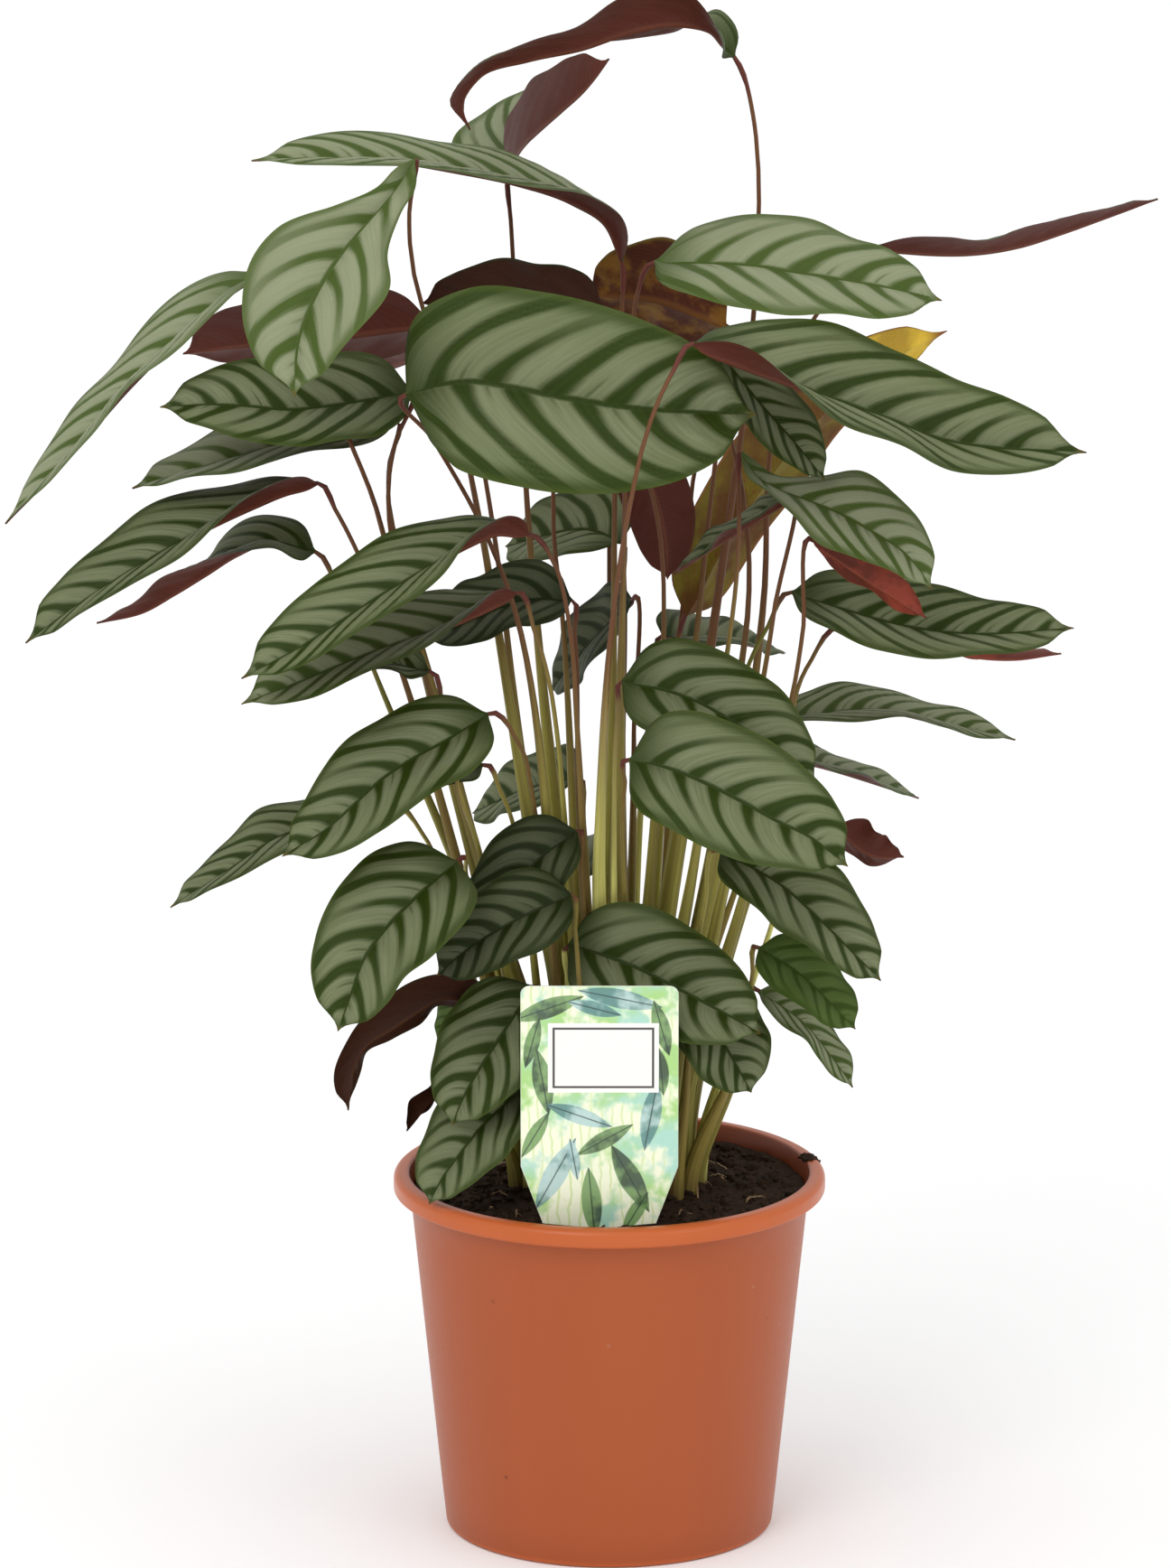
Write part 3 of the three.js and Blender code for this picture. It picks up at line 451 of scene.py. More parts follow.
def rings_of(name):
    """A leaf's rings of corners, from the sunk foot of its stalk to the tip of its blade"""
    places, links = read_node(name)
    ring = set(int(corner) for corner in np.argsort(places[:, 2])[:RING_POINTS])
    seen = set(ring)
    rings = []
    while ring:
        rings.append(places[sorted(ring)])
        ring = set(other for corner in ring for other in links[corner]) - seen
        seen |= ring
    if any(len(ring) != RING_POINTS for ring in rings):
        raise ValueError(f"{name} isn't made of rings of {RING_POINTS} corners")
    return rings


def number_of(name):
    return int(name[-2:])


def unit(vectors):
    return vectors / np.linalg.norm(vectors, axis=-1, keepdims=True)


def rails_of(rings):
    """Left edge, midrib and right edge of a blade's rings, seen from above with the tip ahead"""
    rails = []
    side = None
    for ring in rings:
        centre = ring.mean(0)
        axis = np.linalg.svd(ring - centre)[2][0]
        if side is not None and axis @ side < 0:
            axis = -axis
        side = axis
        order = np.argsort((ring - centre) @ axis)
        rails.append([ring[order[pair]].mean(0) for pair in ([0, 1], [2, 3], [4, 5])])
    left, middle, right = np.swapaxes(np.array(rails), 0, 1)
    left[-1] = right[-1] = middle[-1] = rings[-1].mean(0)
    ahead = np.gradient(middle, axis=0)
    up = unit(np.cross(right[:-1] - left[:-1], ahead[:-1]))
    lift = (((left + right)[:-1] / 2 - middle[:-1]) * up).sum()
    if lift < 0:
        left, right = right, left
    return left, middle, right


def curve(knots, places, at):
    """Points on a smooth curve through places, each of which stands at a knot"""
    slopes = np.gradient(places, knots, axis=0)
    part = np.clip(np.searchsorted(knots, at, side="right") - 1, 0, len(knots) - 2)
    length = (knots[part + 1] - knots[part])[:, None]
    share = (at - knots[part])[:, None] / length
    square = share ** 2
    cube = share ** 3
    return ((2 * cube - 3 * square + 1) * places[part]
            + (cube - 2 * square + share) * length * slopes[part]
            + (3 * square - 2 * cube) * places[part + 1]
            + (cube - square) * length * slopes[part + 1])


def smooth_step(value, low, high):
    share = np.clip((value - low) / (high - low), 0, 1)
    return share * share * (3 - 2 * share)


class Leaf:
    """What the rings of a leaf's solid say about it"""

    def __init__(self, name, draw):
        rings = rings_of(name)
        stalk = rings[:-BLADE_RING_COUNT]
        left, middle, right = rails_of(rings[-BLADE_RING_COUNT:])
        centres = np.array([ring.mean(0) for ring in stalk])
        self.line = np.r_[centres, middle]
        steps = np.linalg.norm(np.diff(self.line, axis=0), axis=1)
        self.knots = np.r_[[0], np.cumsum(steps)]
        self.base = self.knots[len(stalk) - 1]
        self.end = self.knots[-1]
        self.radii = np.array([
            np.linalg.norm(ring - ring.mean(0), axis=1).mean() for ring in stalk])
        self.stalk_knots = self.knots[:len(stalk)]
        slimming = smooth_step(self.stalk_knots / self.base, *SLIMMING_SPAN)
        self.radii *= 1 - STALK_SLIMMING * slimming
        shares = (self.knots[len(stalk) - 1:] - self.base) / (self.end - self.base)
        self.edge_knots = np.sqrt(shares)
        base_side = unit(right[0] - left[0]) * self.radii[-1]
        self.left = np.r_[[-base_side], left - middle]
        self.right = np.r_[[base_side], right - middle]
        slim = (self.end - self.base) / np.linalg.norm(right - left, axis=1).max()
        vary = draw.uniform(-BANDS_VARY, BANDS_VARY)
        self.bands = LEAST_BANDS + BANDS_FOR_LENGTH * min(slim, MOST_SLIM) + vary
        self.sweep = min(max(slim / BROAD, 1), 2)
        number = number_of(name)
        self.bright = 1 if number in PAINTED_LIGHT_SHEATHS else 0
        self.tone = draw.uniform(*USUAL_TONES)
        for numbers, tones in UNUSUAL_TONES:
            if number in numbers:
                self.tone = draw.uniform(*tones)
        self.seed = draw.uniform(0, 50)

    def phase_at(self, share, across, half_width):
        """Where a point of the blade lies in the run of bands on its side"""
        reach = abs(across)
        way = reach * half_width / (self.end - self.base)
        swept = share - way * self.sweep * (SWEEP + SWEEP_BEND * reach)
        side = 1 if across > 0 else 0
        drift = noise.noise(Vector((4 * share, 1.2 * reach + 5 * side, self.seed)))
        return self.bands * (swept + 1) + 0.5 * side + WANDER * drift

    def middle_at(self, places):
        return curve(self.knots, self.line, places)

    def ahead_at(self, places):
        reach = 0.5 * MM
        low = np.clip(places - reach, 0, self.end)
        high = np.clip(places + reach, 0, self.end)
        return unit(self.middle_at(high) - self.middle_at(low))


def spread_positions():
    """Places from edge to edge, closer together near the midrib"""
    half = np.linspace(0, 1, HALF_STEPS) ** EDGE_CROWDING
    return np.r_[-half[:0:-1], half]


def blade_relief(across, half_width, phase):
    """How far the upper side stands above the straight line from midrib to edge"""
    reach = np.abs(across)
    arch = ARCH * half_width * 4 * reach * (1 - reach)
    swell = RELIEF * np.cos(TURN * phase) * 4 * reach * (1 - reach)
    size = np.clip(half_width / FULL_HALF_WIDTH, 0.2, 1.2)
    groove = RIB_GROOVE * np.exp(-(across * half_width / RIB_WIDTH) ** 2)
    return arch - swell * size - groove * size


def blade_points(leaf):
    """Rings over the blade, upper side and underside, with the up of its base and its phases"""
    at = np.linspace(0, 1, BLADE_RINGS + 1)[1:]
    share = at ** 2 * RING_CROWDING + at * (1 - RING_CROWDING)
    root = np.sqrt(share)
    places = leaf.base + share * (leaf.end - leaf.base)
    middle = leaf.middle_at(places)
    ahead = leaf.ahead_at(places)
    left = curve(leaf.edge_knots, leaf.left, root)
    right = curve(leaf.edge_knots, leaf.right, root)
    up = unit(np.cross(right - left, ahead)[:-1])
    up = np.r_[up, up[-1:]]
    side = np.cross(ahead, up)
    point = 1 - POINT_LOSS * smooth_step(share, POINT_START, POINT_END)
    half_width = np.linalg.norm(right - left, axis=1) / 2 * point
    left, right = left * point[:, None], right * point[:, None]
    across = spread_positions()
    phases = np.array([[leaf.phase_at(place, way, width) for way in across]
                       for place, width in zip(share, half_width)])
    along, half_width = share[:, None], half_width[:, None]
    reach = np.abs(across)
    turns = EDGE_RIPPLES * along + RIPPLE_SHIFT * leaf.tone + 0.5 * (across > 0)
    ripple = EDGE_RIPPLE * np.sin(TURN * turns) * reach ** 3
    ripple = ripple * np.clip(half_width / FULL_HALF_WIDTH, 0, 1)
    calm = smooth_step(along, *RIPPLE_START) * (1 - smooth_step(along, *RIPPLE_END))
    relief = blade_relief(across, half_width, phases) + ripple * calm
    edges = np.where((across < 0)[:, None], left[:, None], right[:, None])
    flat = middle[:, None] + edges * reach[:, None] + up[:, None] * relief[..., None]
    angle = across * math.pi / 2
    radius = leaf.radii[-1]
    disc = middle[:, None] + side[:, None] * (radius * np.sin(angle))[:, None]
    blend = smooth_step(root, 0, BASE_BLEND)[:, None]
    spine = disc * (1 - blend[..., None]) + flat * blend[..., None]
    round_depth = radius * np.cos(angle)
    closing = np.sqrt(np.clip(1 - reach ** 4, 0, 1))
    thin = BLADE_HALF_THICKNESS * closing
    rib = RIB_DEPTH * (1 - RIB_TAPER * along)
    rib = rib * np.exp(-(across * half_width / RIB_WIDTH) ** 2) * closing
    above = round_depth * (1 - blend) + thin * blend
    below = round_depth * (1 - blend) + (thin + rib) * blend
    upper = spine + up[:, None] * above[..., None]
    lower = spine - up[:, None] * below[..., None]
    return share, upper, lower, up[0], phases


def stalk_points(leaf, top_up):
    """Rings up the stalk, in the same order as the blade's"""
    neck = max(leaf.base - NECK_LENGTH, 0.5 * leaf.base)
    low = np.linspace(0, neck, STALK_RINGS)
    high = np.linspace(neck, leaf.base, NECK_RINGS + 1)[1:]
    places = np.r_[low, high]
    middle = leaf.middle_at(places)
    ahead = leaf.ahead_at(places)
    ahead[:2] = (0, 0, 1)
    ups = np.zeros_like(middle)
    up = top_up
    for ring in range(len(places) - 1, -1, -1):
        up = unit(up - ahead[ring] * (up @ ahead[ring]))
        ups[ring] = up
    side = np.cross(ahead, ups)
    radius = np.interp(places, leaf.stalk_knots, leaf.radii)
    share = places / leaf.base
    sheath = 1 - smooth_step(share, SHEATH_END - SHEATH_FADE, SHEATH_END + SHEATH_FADE)
    joint = smooth_step(
        places, leaf.base - JOINT_LENGTH, leaf.base - (1 - JOINT_ROUNDING) * JOINT_LENGTH)
    joint *= 1 - smooth_step(places, leaf.base - JOINT_ROUNDING * JOINT_LENGTH, leaf.base)
    radius = radius * (1 + SHEATH_SWELL * sheath + JOINT_SWELL * joint)
    angle = spread_positions() * math.pi / 2
    ridges = 1 + RIDGE_DEPTH * sheath[:, None] * np.cos(2 * SHEATH_RIDGES * angle)
    sideways = side[:, None] * (radius[:, None] * np.sin(angle) * ridges)[..., None]
    depth = ups[:, None] * (radius[:, None] * np.cos(angle) * ridges)[..., None]
    spine = middle[:, None] + sideways
    return share, spine + depth, spine - depth


def closed_rings(upper, lower):
    """Upper and lower rows as closed loops: the edges belong to both rows"""
    return np.concatenate([upper, lower[:, -2:0:-1]], axis=1)


def make_leaf(name, materials, draw):
    leaf = Leaf(name, draw)
    share, upper, lower, up, phases = blade_points(leaf)
    stalk_share, stalk_upper, stalk_lower = stalk_points(leaf, up)
    loops = np.r_[closed_rings(stalk_upper, stalk_lower), closed_rings(upper, lower)]
    count = loops.shape[1]
    wide = upper.shape[1]
    stalk_rings = len(stalk_share)
    positions = spread_positions()
    aside = (np.r_[positions, positions[-2:0:-1]] + 1) / 2
    round_it = np.arange(count) / count
    middle = wide // 2
    inner = np.array([leaf.phase_at(place, JUST_RIGHT, 0) for place in share])
    inner = np.r_[inner[:1], inner]
    phases = np.c_[phases, phases[:, -2:0:-1]]
    phases = np.r_[phases[:1], phases]

    def vein(ring, corner, on_right):
        at_midrib = on_right and corner in (middle, count - middle)
        return (inner[ring] if at_midrib else phases[ring, corner]) / PHASE_SCALE

    faces = []
    paints = []
    spots = []
    growth = []
    for ring in range(len(loops) - 1):
        on_stalk = ring + 1 < stalk_rings
        for corner in range(count):
            after = (corner + 1) % count
            faces.append(quad(ring * count, (ring + 1) * count, corner, after))
            if on_stalk:
                paints.append(2)
                low, high = stalk_share[ring], stalk_share[ring + 1]
                near, far = round_it[corner], round_it[corner] + 1 / count
                growth.extend([(leaf.bright / PHASE_SCALE, leaf.tone)] * 4)
            else:
                paints.append(0 if corner < wide - 1 else 1)
                low = 0 if ring < stalk_rings else share[ring - stalk_rings]
                high = share[ring + 1 - stalk_rings]
                near, far = aside[corner], aside[after]
                on_right = middle <= corner < count - middle
                row = ring + 1 - stalk_rings
                corners = ((row, corner), (row, after), (row + 1, after), (row + 1, corner))
                for step, place in corners:
                    growth.append((vein(step, place, on_right), leaf.tone))
            spots.extend([(low, near), (low, far), (high, far), (high, near)])
    faces.append(tuple(range(count - 1, -1, -1)))
    paints.append(2)
    spots.extend([(0, spot) for spot in round_it])
    growth.extend([(0, leaf.tone)] * (2 * count))
    last = (len(loops) - 1) * count
    faces.append(tuple(range(last, last + count)))
    paints.append(0)
    spots.extend([(1, spot) for spot in aside])
    mesh = new_mesh("foliage_" + name[-2:], loops.reshape(-1, 3).tolist(), faces)
    mesh.polygons.foreach_set("material_index", paints)
    mesh.polygons.foreach_set("use_smooth", [True] * len(faces))
    mesh.uv_layers.new(name="place").data.foreach_set("uv", np.array(spots, float).ravel())
    mesh.uv_layers.new(name="growth").data.foreach_set("uv", np.array(growth, float).ravel())
    sharpen_margins(mesh, count, wide, stalk_rings)
    for material in materials:
        mesh.materials.append(material)
    declare(add_object(mesh.name, mesh), "leaf", name)


def sharpen_margins(mesh, count, wide, stalk_rings):
    """The blade's thin edges stay crisp where its two sides meet"""
    ends = np.zeros(len(mesh.edges) * 2, int)
    mesh.edges.foreach_get("vertices", ends)
    ends = ends.reshape(-1, 2)
    corner = ends % count
    ring = ends // count
    along = (corner[:, 0] == corner[:, 1]) & np.isin(corner[:, 0], (0, wide - 1))
    crisp = along & (ring.min(1) > stalk_rings + SOFT_RINGS)
    layer = mesh.attributes.new("sharp_edge", "BOOLEAN", "EDGE")
    layer.data.foreach_set("value", crisp)


def make_foliage():
    upper = upper_material()
    plum = under_material("leaf_under", (90, 44, 34), (108, 62, 46), (80, 46, 34))
    bronze = under_material(
        "leaf_under_dark", (62, 34, 22), (78, 48, 30), (44, 50, 26))
    # Painted light: the underside of leaf 13 is golden, as if lit through from behind, with
    # darker patches of its own colour
    copper = under_material(
        "leaf_under_backlit", (124, 86, 30), (110, 70, 34), (112, 92, 40),
        patches=(74, 36, 22))
    ruby = under_material(
        "leaf_under_red", (134, 58, 44), (128, 66, 48), (112, 60, 38),
        patches=(94, 44, 34))
    fading = fading_material()
    brown_stalk = stalk_material("stalk_brown", (112, 72, 44), (92, 46, 36))
    green_stalk = stalk_material("stalk_green", (112, 110, 44), (96, 62, 38))
    draw = random.Random(LEAF_SEED)
    for name in sorted(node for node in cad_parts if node.startswith("leaf_")):
        number = number_of(name)
        stalk = green_stalk if number in GREEN_STALKS else brown_stalk
        materials = [upper, plum, stalk]
        for numbers, under in ((BRONZE, bronze), (COPPER, copper), (RUBY, ruby)):
            if number in numbers:
                materials[1] = under
        if number in FADING:
            materials = [fading, fading, stalk]
        make_leaf(name, materials, draw)


# The pot's profile, from the CAD's own box
POT_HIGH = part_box("pot")[1]
POT_HEIGHT = POT_HIGH.z
LIP_RADIUS = POT_HIGH.x
LIP_HEIGHT = 7.5 * MM
LIP_WIDTH = 5.2 * MM
LIP_ROUNDINGS = (1.4 * MM, 3 * MM, 1.2 * MM)
FOOT_ROUNDING = 1.5 * MM
FILLET_RADIUS = 1.6 * MM
FILLET_OUT = 1.7 * MM
WALL_ENDS = 3.5 * MM
BORE_ROUNDING = 1.5 * MM
BORE_START = 4 * MM
WALL_STEPS = 10
SHOULDER_RADIUS = 78.5 * MM
FOOT_RADIUS = 64.6 * MM
POT_WALL = 1.8 * MM
POT_FLOOR = 2 * MM
POT_ROUND = 176
DRAINS = 6
DRAIN_RADIUS = 5 * MM
DRAIN_CIRCLE = 40 * MM
DRAIN_ROUND = 40
POT_CREASE = 40


def lathe(name, profile, sides):
    """A closed solid turned about Z from a profile that starts and ends on the axis"""
    points = [(0, 0, profile[0][1])]
    for radius, height in profile[1:-1]:
        for side in range(sides):
            points.append((*around(radius, TURN * side / sides), height))
    points.append((0, 0, profile[-1][1]))
    faces = []
    rows = len(profile) - 2
    for side in range(sides):
        after = (side + 1) % sides
        faces.append((0, 1 + after, 1 + side))
        last = 1 + (rows - 1) * sides
        faces.append((len(points) - 1, last + side, last + after))
        for row in range(rows - 1):
            low = 1 + row * sides
            faces.append(quad(low, low + sides, side, after))
    return new_mesh(name, points, faces)


def arc(across, up, radius, start, end, steps):
    """Points of an arc of an outline, with its angles in degrees"""
    angles = [math.radians(start + (end - start) * step / steps) for step in range(steps + 1)]
    return [(across + radius * math.cos(angle), up + radius * math.sin(angle))
            for angle in angles]


def inner_radius(height):
    share = height / (POT_HEIGHT - LIP_HEIGHT)
    return FOOT_RADIUS + (SHOULDER_RADIUS - FOOT_RADIUS) * share - POT_WALL


def pot_profile():
    under = POT_HEIGHT - LIP_HEIGHT
    foot = arc(FOOT_RADIUS - FOOT_ROUNDING, FOOT_ROUNDING, FOOT_ROUNDING, -90, -6, 4)
    wall = []
    for step in range(1, WALL_STEPS + 1):
        share = step / WALL_STEPS
        height = FOOT_ROUNDING + (under - WALL_ENDS) * share
        wall.append((FOOT_RADIUS + (SHOULDER_RADIUS - FOOT_RADIUS) * height / under, height))
    fillet = arc(
        SHOULDER_RADIUS + FILLET_OUT, under - FILLET_RADIUS, FILLET_RADIUS, 180, 90, 4)
    low, top, inner = LIP_ROUNDINGS
    lip_low = arc(LIP_RADIUS - low, under + low, low, -90, 0, 5)
    lip_top = arc(LIP_RADIUS - top, POT_HEIGHT - top, top, 0, 90, 8)
    lip_in = arc(LIP_RADIUS - LIP_WIDTH, POT_HEIGHT - inner, inner, 90, 165, 5)
    return [
        (0, 0), *foot, *wall, *fillet, *lip_low, *lip_top, *lip_in,
        (inner_radius(under), under - BORE_ROUNDING), (inner_radius(0.6 * under), 0.6 * under),
        (inner_radius(BORE_START), BORE_START), (inner_radius(0) - BORE_ROUNDING, POT_FLOOR),
        (0, POT_FLOOR)]


def pot_material():
    look = Look("pot_plastic")
    place = look.place()
    x, y, height = look.split(place)
    drawn = look.join(x, y, look.times(height, 0.15))
    cloud = look.noise(drawn, 22.0, 3.0)
    fleck = look.away(look.spots(place, 70.0), 0.035, 0.075, 0.75)
    rare = look.step(look.noise(place, 31.0), 0.56, 0.64)
    pale = look.away(look.spots(look.join(y, x, height), 55.0), 0.03, 0.07, 0.6)
    wall = look.math("SQRT", look.plus(look.times(x, x), look.times(y, y)))
    slope = (SHOULDER_RADIUS - FOOT_RADIUS) / (POT_HEIGHT - LIP_HEIGHT)
    line = look.line(height, slope, FOOT_RADIUS - 0.8 * MM)
    # Painted shade: the pot's inner wall, above its floor, is darkened
    painted_inner_shade = look.away(look.less(wall, line), -1.5 * MM, 2.5 * MM, 0.8)
    colour = look.coat(
        look.mix(cloud, (178, 86, 38), (188, 94, 46)),
        (look.times(fleck, rare), (110, 52, 36)),
        (look.times(pale, look.step(cloud, 0.5, 0.6)), (186, 128, 96)),
        (look.times(painted_inner_shade, look.step(height, 0.0, 3 * MM)), (84, 36, 26)))
    scuff = look.noise(look.join(x, y, look.times(height, 6.0)), 160.0, 4.0, 0.7)
    lip = look.step(height, POT_HEIGHT - LIP_HEIGHT, POT_HEIGHT - 5 * MM)
    look.bump(look.mix(lip, look.join(scuff, scuff, scuff), (0.5, 0.5, 0.5, 1)), 0.05 * MM, 0.5)
    worn = look.times(scuff, look.line(lip, -0.8, 1.0))
    gloss = look.line(worn, 0.14, look.line(lip, -0.05, 0.34))
    return look.finish(colour, gloss, specular=0.3)


def cut_drains(piece):
    cutters = []
    for drain in range(DRAINS):
        place = (*around(DRAIN_CIRCLE, TURN * drain / DRAINS), 0)
        bpy.ops.mesh.primitive_cylinder_add(
            vertices=DRAIN_ROUND, radius=DRAIN_RADIUS, depth=4 * POT_FLOOR, location=place)
        cutters.append(bpy.context.object)
        cut = piece.modifiers.new("drain", "BOOLEAN")
        cut.operation = "DIFFERENCE"
        cut.solver = "EXACT"
        cut.object = cutters[-1]
    bpy.context.view_layer.update()
    shape = piece.evaluated_get(bpy.context.evaluated_depsgraph_get())
    made = bpy.data.meshes.new_from_object(shape)
    piece.modifiers.clear()
    piece.data = made
    for cutter in cutters:
        bpy.data.objects.remove(cutter)


def shade_smooth(mesh, limit):
    """Smooth, but crisp where two faces meet at more than limit degrees"""
    mesh.polygons.foreach_set("use_smooth", [True] * len(mesh.polygons))
    mesh.set_sharp_from_angle(angle=math.radians(limit))


def make_pot():
    piece = add_object("grower_pot", lathe("grower_pot", pot_profile(), POT_ROUND))
    cut_drains(piece)
    shade_smooth(piece.data, POT_CREASE)
    piece.data.materials.clear()
    piece.data.materials.append(pot_material())
    declare(piece, "pot", "pot")


def add_piece(name, shapes, material, slot, *nodes):
    """One piece of several closed shapes, each given as points and faces"""
    points, faces = [], []
    for some_points, some_faces in shapes:
        start = len(points)
        points += some_points
        faces += [tuple(start + corner for corner in face) for face in some_faces]
    mesh = new_mesh(name, points, faces)
    shade_smooth(mesh, CLOD_CREASE)
    mesh.materials.append(material)
    declare(add_object(name, mesh), slot, *nodes)


# The soil
SOIL_LOW, SOIL_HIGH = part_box("soil")
SOIL_TOP = 136.5 * MM
SOIL_CROWN = 3.5 * MM
SOIL_EDGE = 1.2 * MM
SOIL_SINK = 0.6 * MM
CROWN_SPAN = (10 * MM, 55 * MM)
EDGE_CALM = 0.3
CALM_START = 60 * MM
SOIL_GAP = 0.4 * MM
# Scale, shift and height in millimetres
SOIL_LUMPS = ((70, (0, 0, 0), 1.4), (230, (5, 1, 2), 1.3), (560, (3, 8, 1), 1))
SOIL_RADIUS = SOIL_HIGH.x
SOIL_RINGS = 64
SOIL_CROWDING = 0.85
SOIL_ROUND = 200
CRUMBS = 1500
CRUMB_SMALL = 0.7 * MM
CRUMB_LARGE = 3 * MM
CRUMB_RISE = 0.15
CLOD_ROUGHNESS = 0.45
CLOD_SCALE = 1.7
CLOD_CREASE = 50
CLOD_SPANS = ((0.7, 1.3), (0.7, 1.3), (0.55, 0.9))
FIBRES = 44
FIBRE_STEPS = 8
FIBRE_BEND = 1.4
FIBRE_THICKNESS = 0.24 * MM
FIBRE_LIFT = 0.5 * MM
FIBRE_DROP = 1.5 * MM
FIBRE_BOW = 1.2 * MM
FIBRE_INSET = 9 * MM
FIBRE_START = 0.4 * MM
FIBRE_LEAST = 3 * MM
FIBRE_MORE = 10 * MM
FIBRE_WIDTHS = (0.4, 1.3)
RIM_CRUMBS = 26
# In degrees, and the insets and sizes in millimetres
RIM_CRUMB_ANGLES = (9, 15)
RIM_CRUMB_INSETS = (1.2, 7.5)
RIM_CRUMB_SIZES = (0.7, 2)


def soil_height(x, y):
    """The crumbly surface of the soil"""
    distance = math.hypot(x, y)
    inward = SOIL_RADIUS - distance
    crown = SOIL_EDGE + (SOIL_CROWN - SOIL_EDGE) * float(smooth_step(inward, *CROWN_SPAN))
    place = Vector((x, y, 0))
    lumps = sum(noise.noise(place * scale + Vector(shift)) * height
                for scale, shift, height in SOIL_LUMPS)
    calm = 1 - EDGE_CALM * float(smooth_step(distance, CALM_START, SOIL_RADIUS))
    return SOIL_TOP + crown - SOIL_SINK + lumps * MM * calm


def soil_mesh():
    points = []
    for ring in range(1, SOIL_RINGS + 1):
        radius = SOIL_RADIUS * (ring / SOIL_RINGS) ** SOIL_CROWDING
        for side in range(SOIL_ROUND):
            angle = TURN * (side + 0.5 * (ring % 2)) / SOIL_ROUND
            x, y = around(radius, angle)
            points.append((x, y, soil_height(x, y)))
    low = SOIL_LOW.z
    foot = inner_radius(low) - SOIL_GAP
    for side in range(SOIL_ROUND):
        points.append((*around(foot, TURN * side / SOIL_ROUND), low))
    top, bottom = len(points), len(points) + 1
    points += [(0, 0, soil_height(0, 0)), (0, 0, low)]
    faces = []
    for side in range(SOIL_ROUND):
        after = (side + 1) % SOIL_ROUND
        faces.append((top, side, after))
        for ring in range(SOIL_RINGS):
            near = ring * SOIL_ROUND
            far = near + SOIL_ROUND
            faces.append((near + side, far + side, far + after, near + after))
        last = SOIL_RINGS * SOIL_ROUND
        faces.append((bottom, last + after, last + side))
    return points, faces


def lump(place, size, draw):
    """A small irregular clod as points and faces"""
    shape = bmesh.new()
    bmesh.ops.create_icosphere(shape, subdivisions=1, radius=1)
    shift = Vector([draw.uniform(0, 50) for _ in range(3)])
    stretch = Vector([draw.uniform(*span) for span in CLOD_SPANS])
    points = []
    for corner in shape.verts:
        grown = corner.co * (1 + CLOD_ROUGHNESS * noise.noise(corner.co * CLOD_SCALE + shift))
        spot = grown * stretch * size
        points.append(tuple(place + spot))
    faces = [tuple(corner.index for corner in face.verts) for face in shape.faces]
    shape.free()
    return points, faces


def strip(place, length, width, draw):
    """A thin curved scrap of dry fibre lying on the soil"""
    heading = draw.uniform(0, TURN)
    bend = draw.uniform(-FIBRE_BEND, FIBRE_BEND)
    thick = Vector((0, 0, FIBRE_THICKNESS / 2))
    spot = place.copy()
    points = []
    faces = [(3, 2, 1, 0)]
    for step in range(FIBRE_STEPS + 1):
        share = step / FIBRE_STEPS
        angle = heading + bend * share
        side = Vector((-math.sin(angle), math.cos(angle), 0)) * width / 2
        height = max(soil_height(spot.x, spot.y) + FIBRE_LIFT, place.z - FIBRE_DROP)
        level = Vector((spot.x, spot.y, height + FIBRE_BOW * math.sin(math.pi * share)))
        points += [tuple(level - side - thick), tuple(level + side - thick),
                   tuple(level + side + thick), tuple(level - side + thick)]
        spot += Vector((*around(1, angle), 0)) * (length / FIBRE_STEPS)
    for step in range(FIBRE_STEPS):
        for corner in range(4):
            faces.append(quad(4 * step, 4 * step + 4, corner, (corner + 1) % 4))
    last = 4 * FIBRE_STEPS
    faces.append((last, last + 1, last + 2, last + 3))
    return points, faces


def soil_material():
    look = Look("potting_soil")
    place = look.place()
    coarse = look.noise(place, 180.0, 5.0, 0.65)
    fine = look.noise(place, 1300.0, 4.0, 0.6)
    colour = look.mix(coarse, (22, 15, 10), (66, 49, 36))
    colour = look.mix(look.step(fine, 0.55, 0.8, 0.5), colour, (84, 64, 44))
    look.bump(fine, 0.6 * MM, 0.9)
    return look.finish(colour, 0.95, specular=0.15)


def fibre_material():
    look = Look("dry_fibre")
    shade = look.noise(look.place(), 300.0, 3.0)
    colour = look.mix(shade, (88, 62, 42), (168, 138, 98))
    look.bump(shade, 0.1 * MM, 0.6)
    return look.finish(colour, 0.75)


def scattered(draw, reach):
    angle = draw.uniform(0, TURN)
    return around(reach * math.sqrt(draw.uniform(0.02, 1)), angle)


def make_soil():
    draw = random.Random(SOIL_SEED)
    shapes = [soil_mesh()]
    for _ in range(CRUMBS):
        x, y = scattered(draw, SOIL_RADIUS - CRUMB_LARGE)
        size = CRUMB_SMALL + (CRUMB_LARGE - CRUMB_SMALL) * draw.random() ** 3
        shapes.append(lump(Vector((x, y, soil_height(x, y) + CRUMB_RISE * size)), size, draw))
    for _ in range(RIM_CRUMBS):
        angle = math.radians(draw.uniform(*RIM_CRUMB_ANGLES))
        distance = LIP_RADIUS - draw.uniform(*RIM_CRUMB_INSETS) * MM
        size = draw.uniform(*RIM_CRUMB_SIZES) * MM
        spot = Vector((*around(distance, angle), POT_HEIGHT))
        spot.z -= 0.1 * size if distance < LIP_RADIUS - 3 * MM else 0.6 * size
        shapes.append(lump(spot, size, draw))
    add_piece("potting_soil_mix", shapes, soil_material(), "soil", "soil")
    scraps = []
    for _ in range(FIBRES):
        x, y = scattered(draw, SOIL_RADIUS - FIBRE_INSET)
        place = Vector((x, y, soil_height(x, y) + FIBRE_START))
        length = FIBRE_LEAST + FIBRE_MORE * draw.random() ** 2
        scraps.append(strip(place, length, draw.uniform(*FIBRE_WIDTHS) * MM, draw))
    add_piece("dry_scraps", scraps, fibre_material(), "soil")


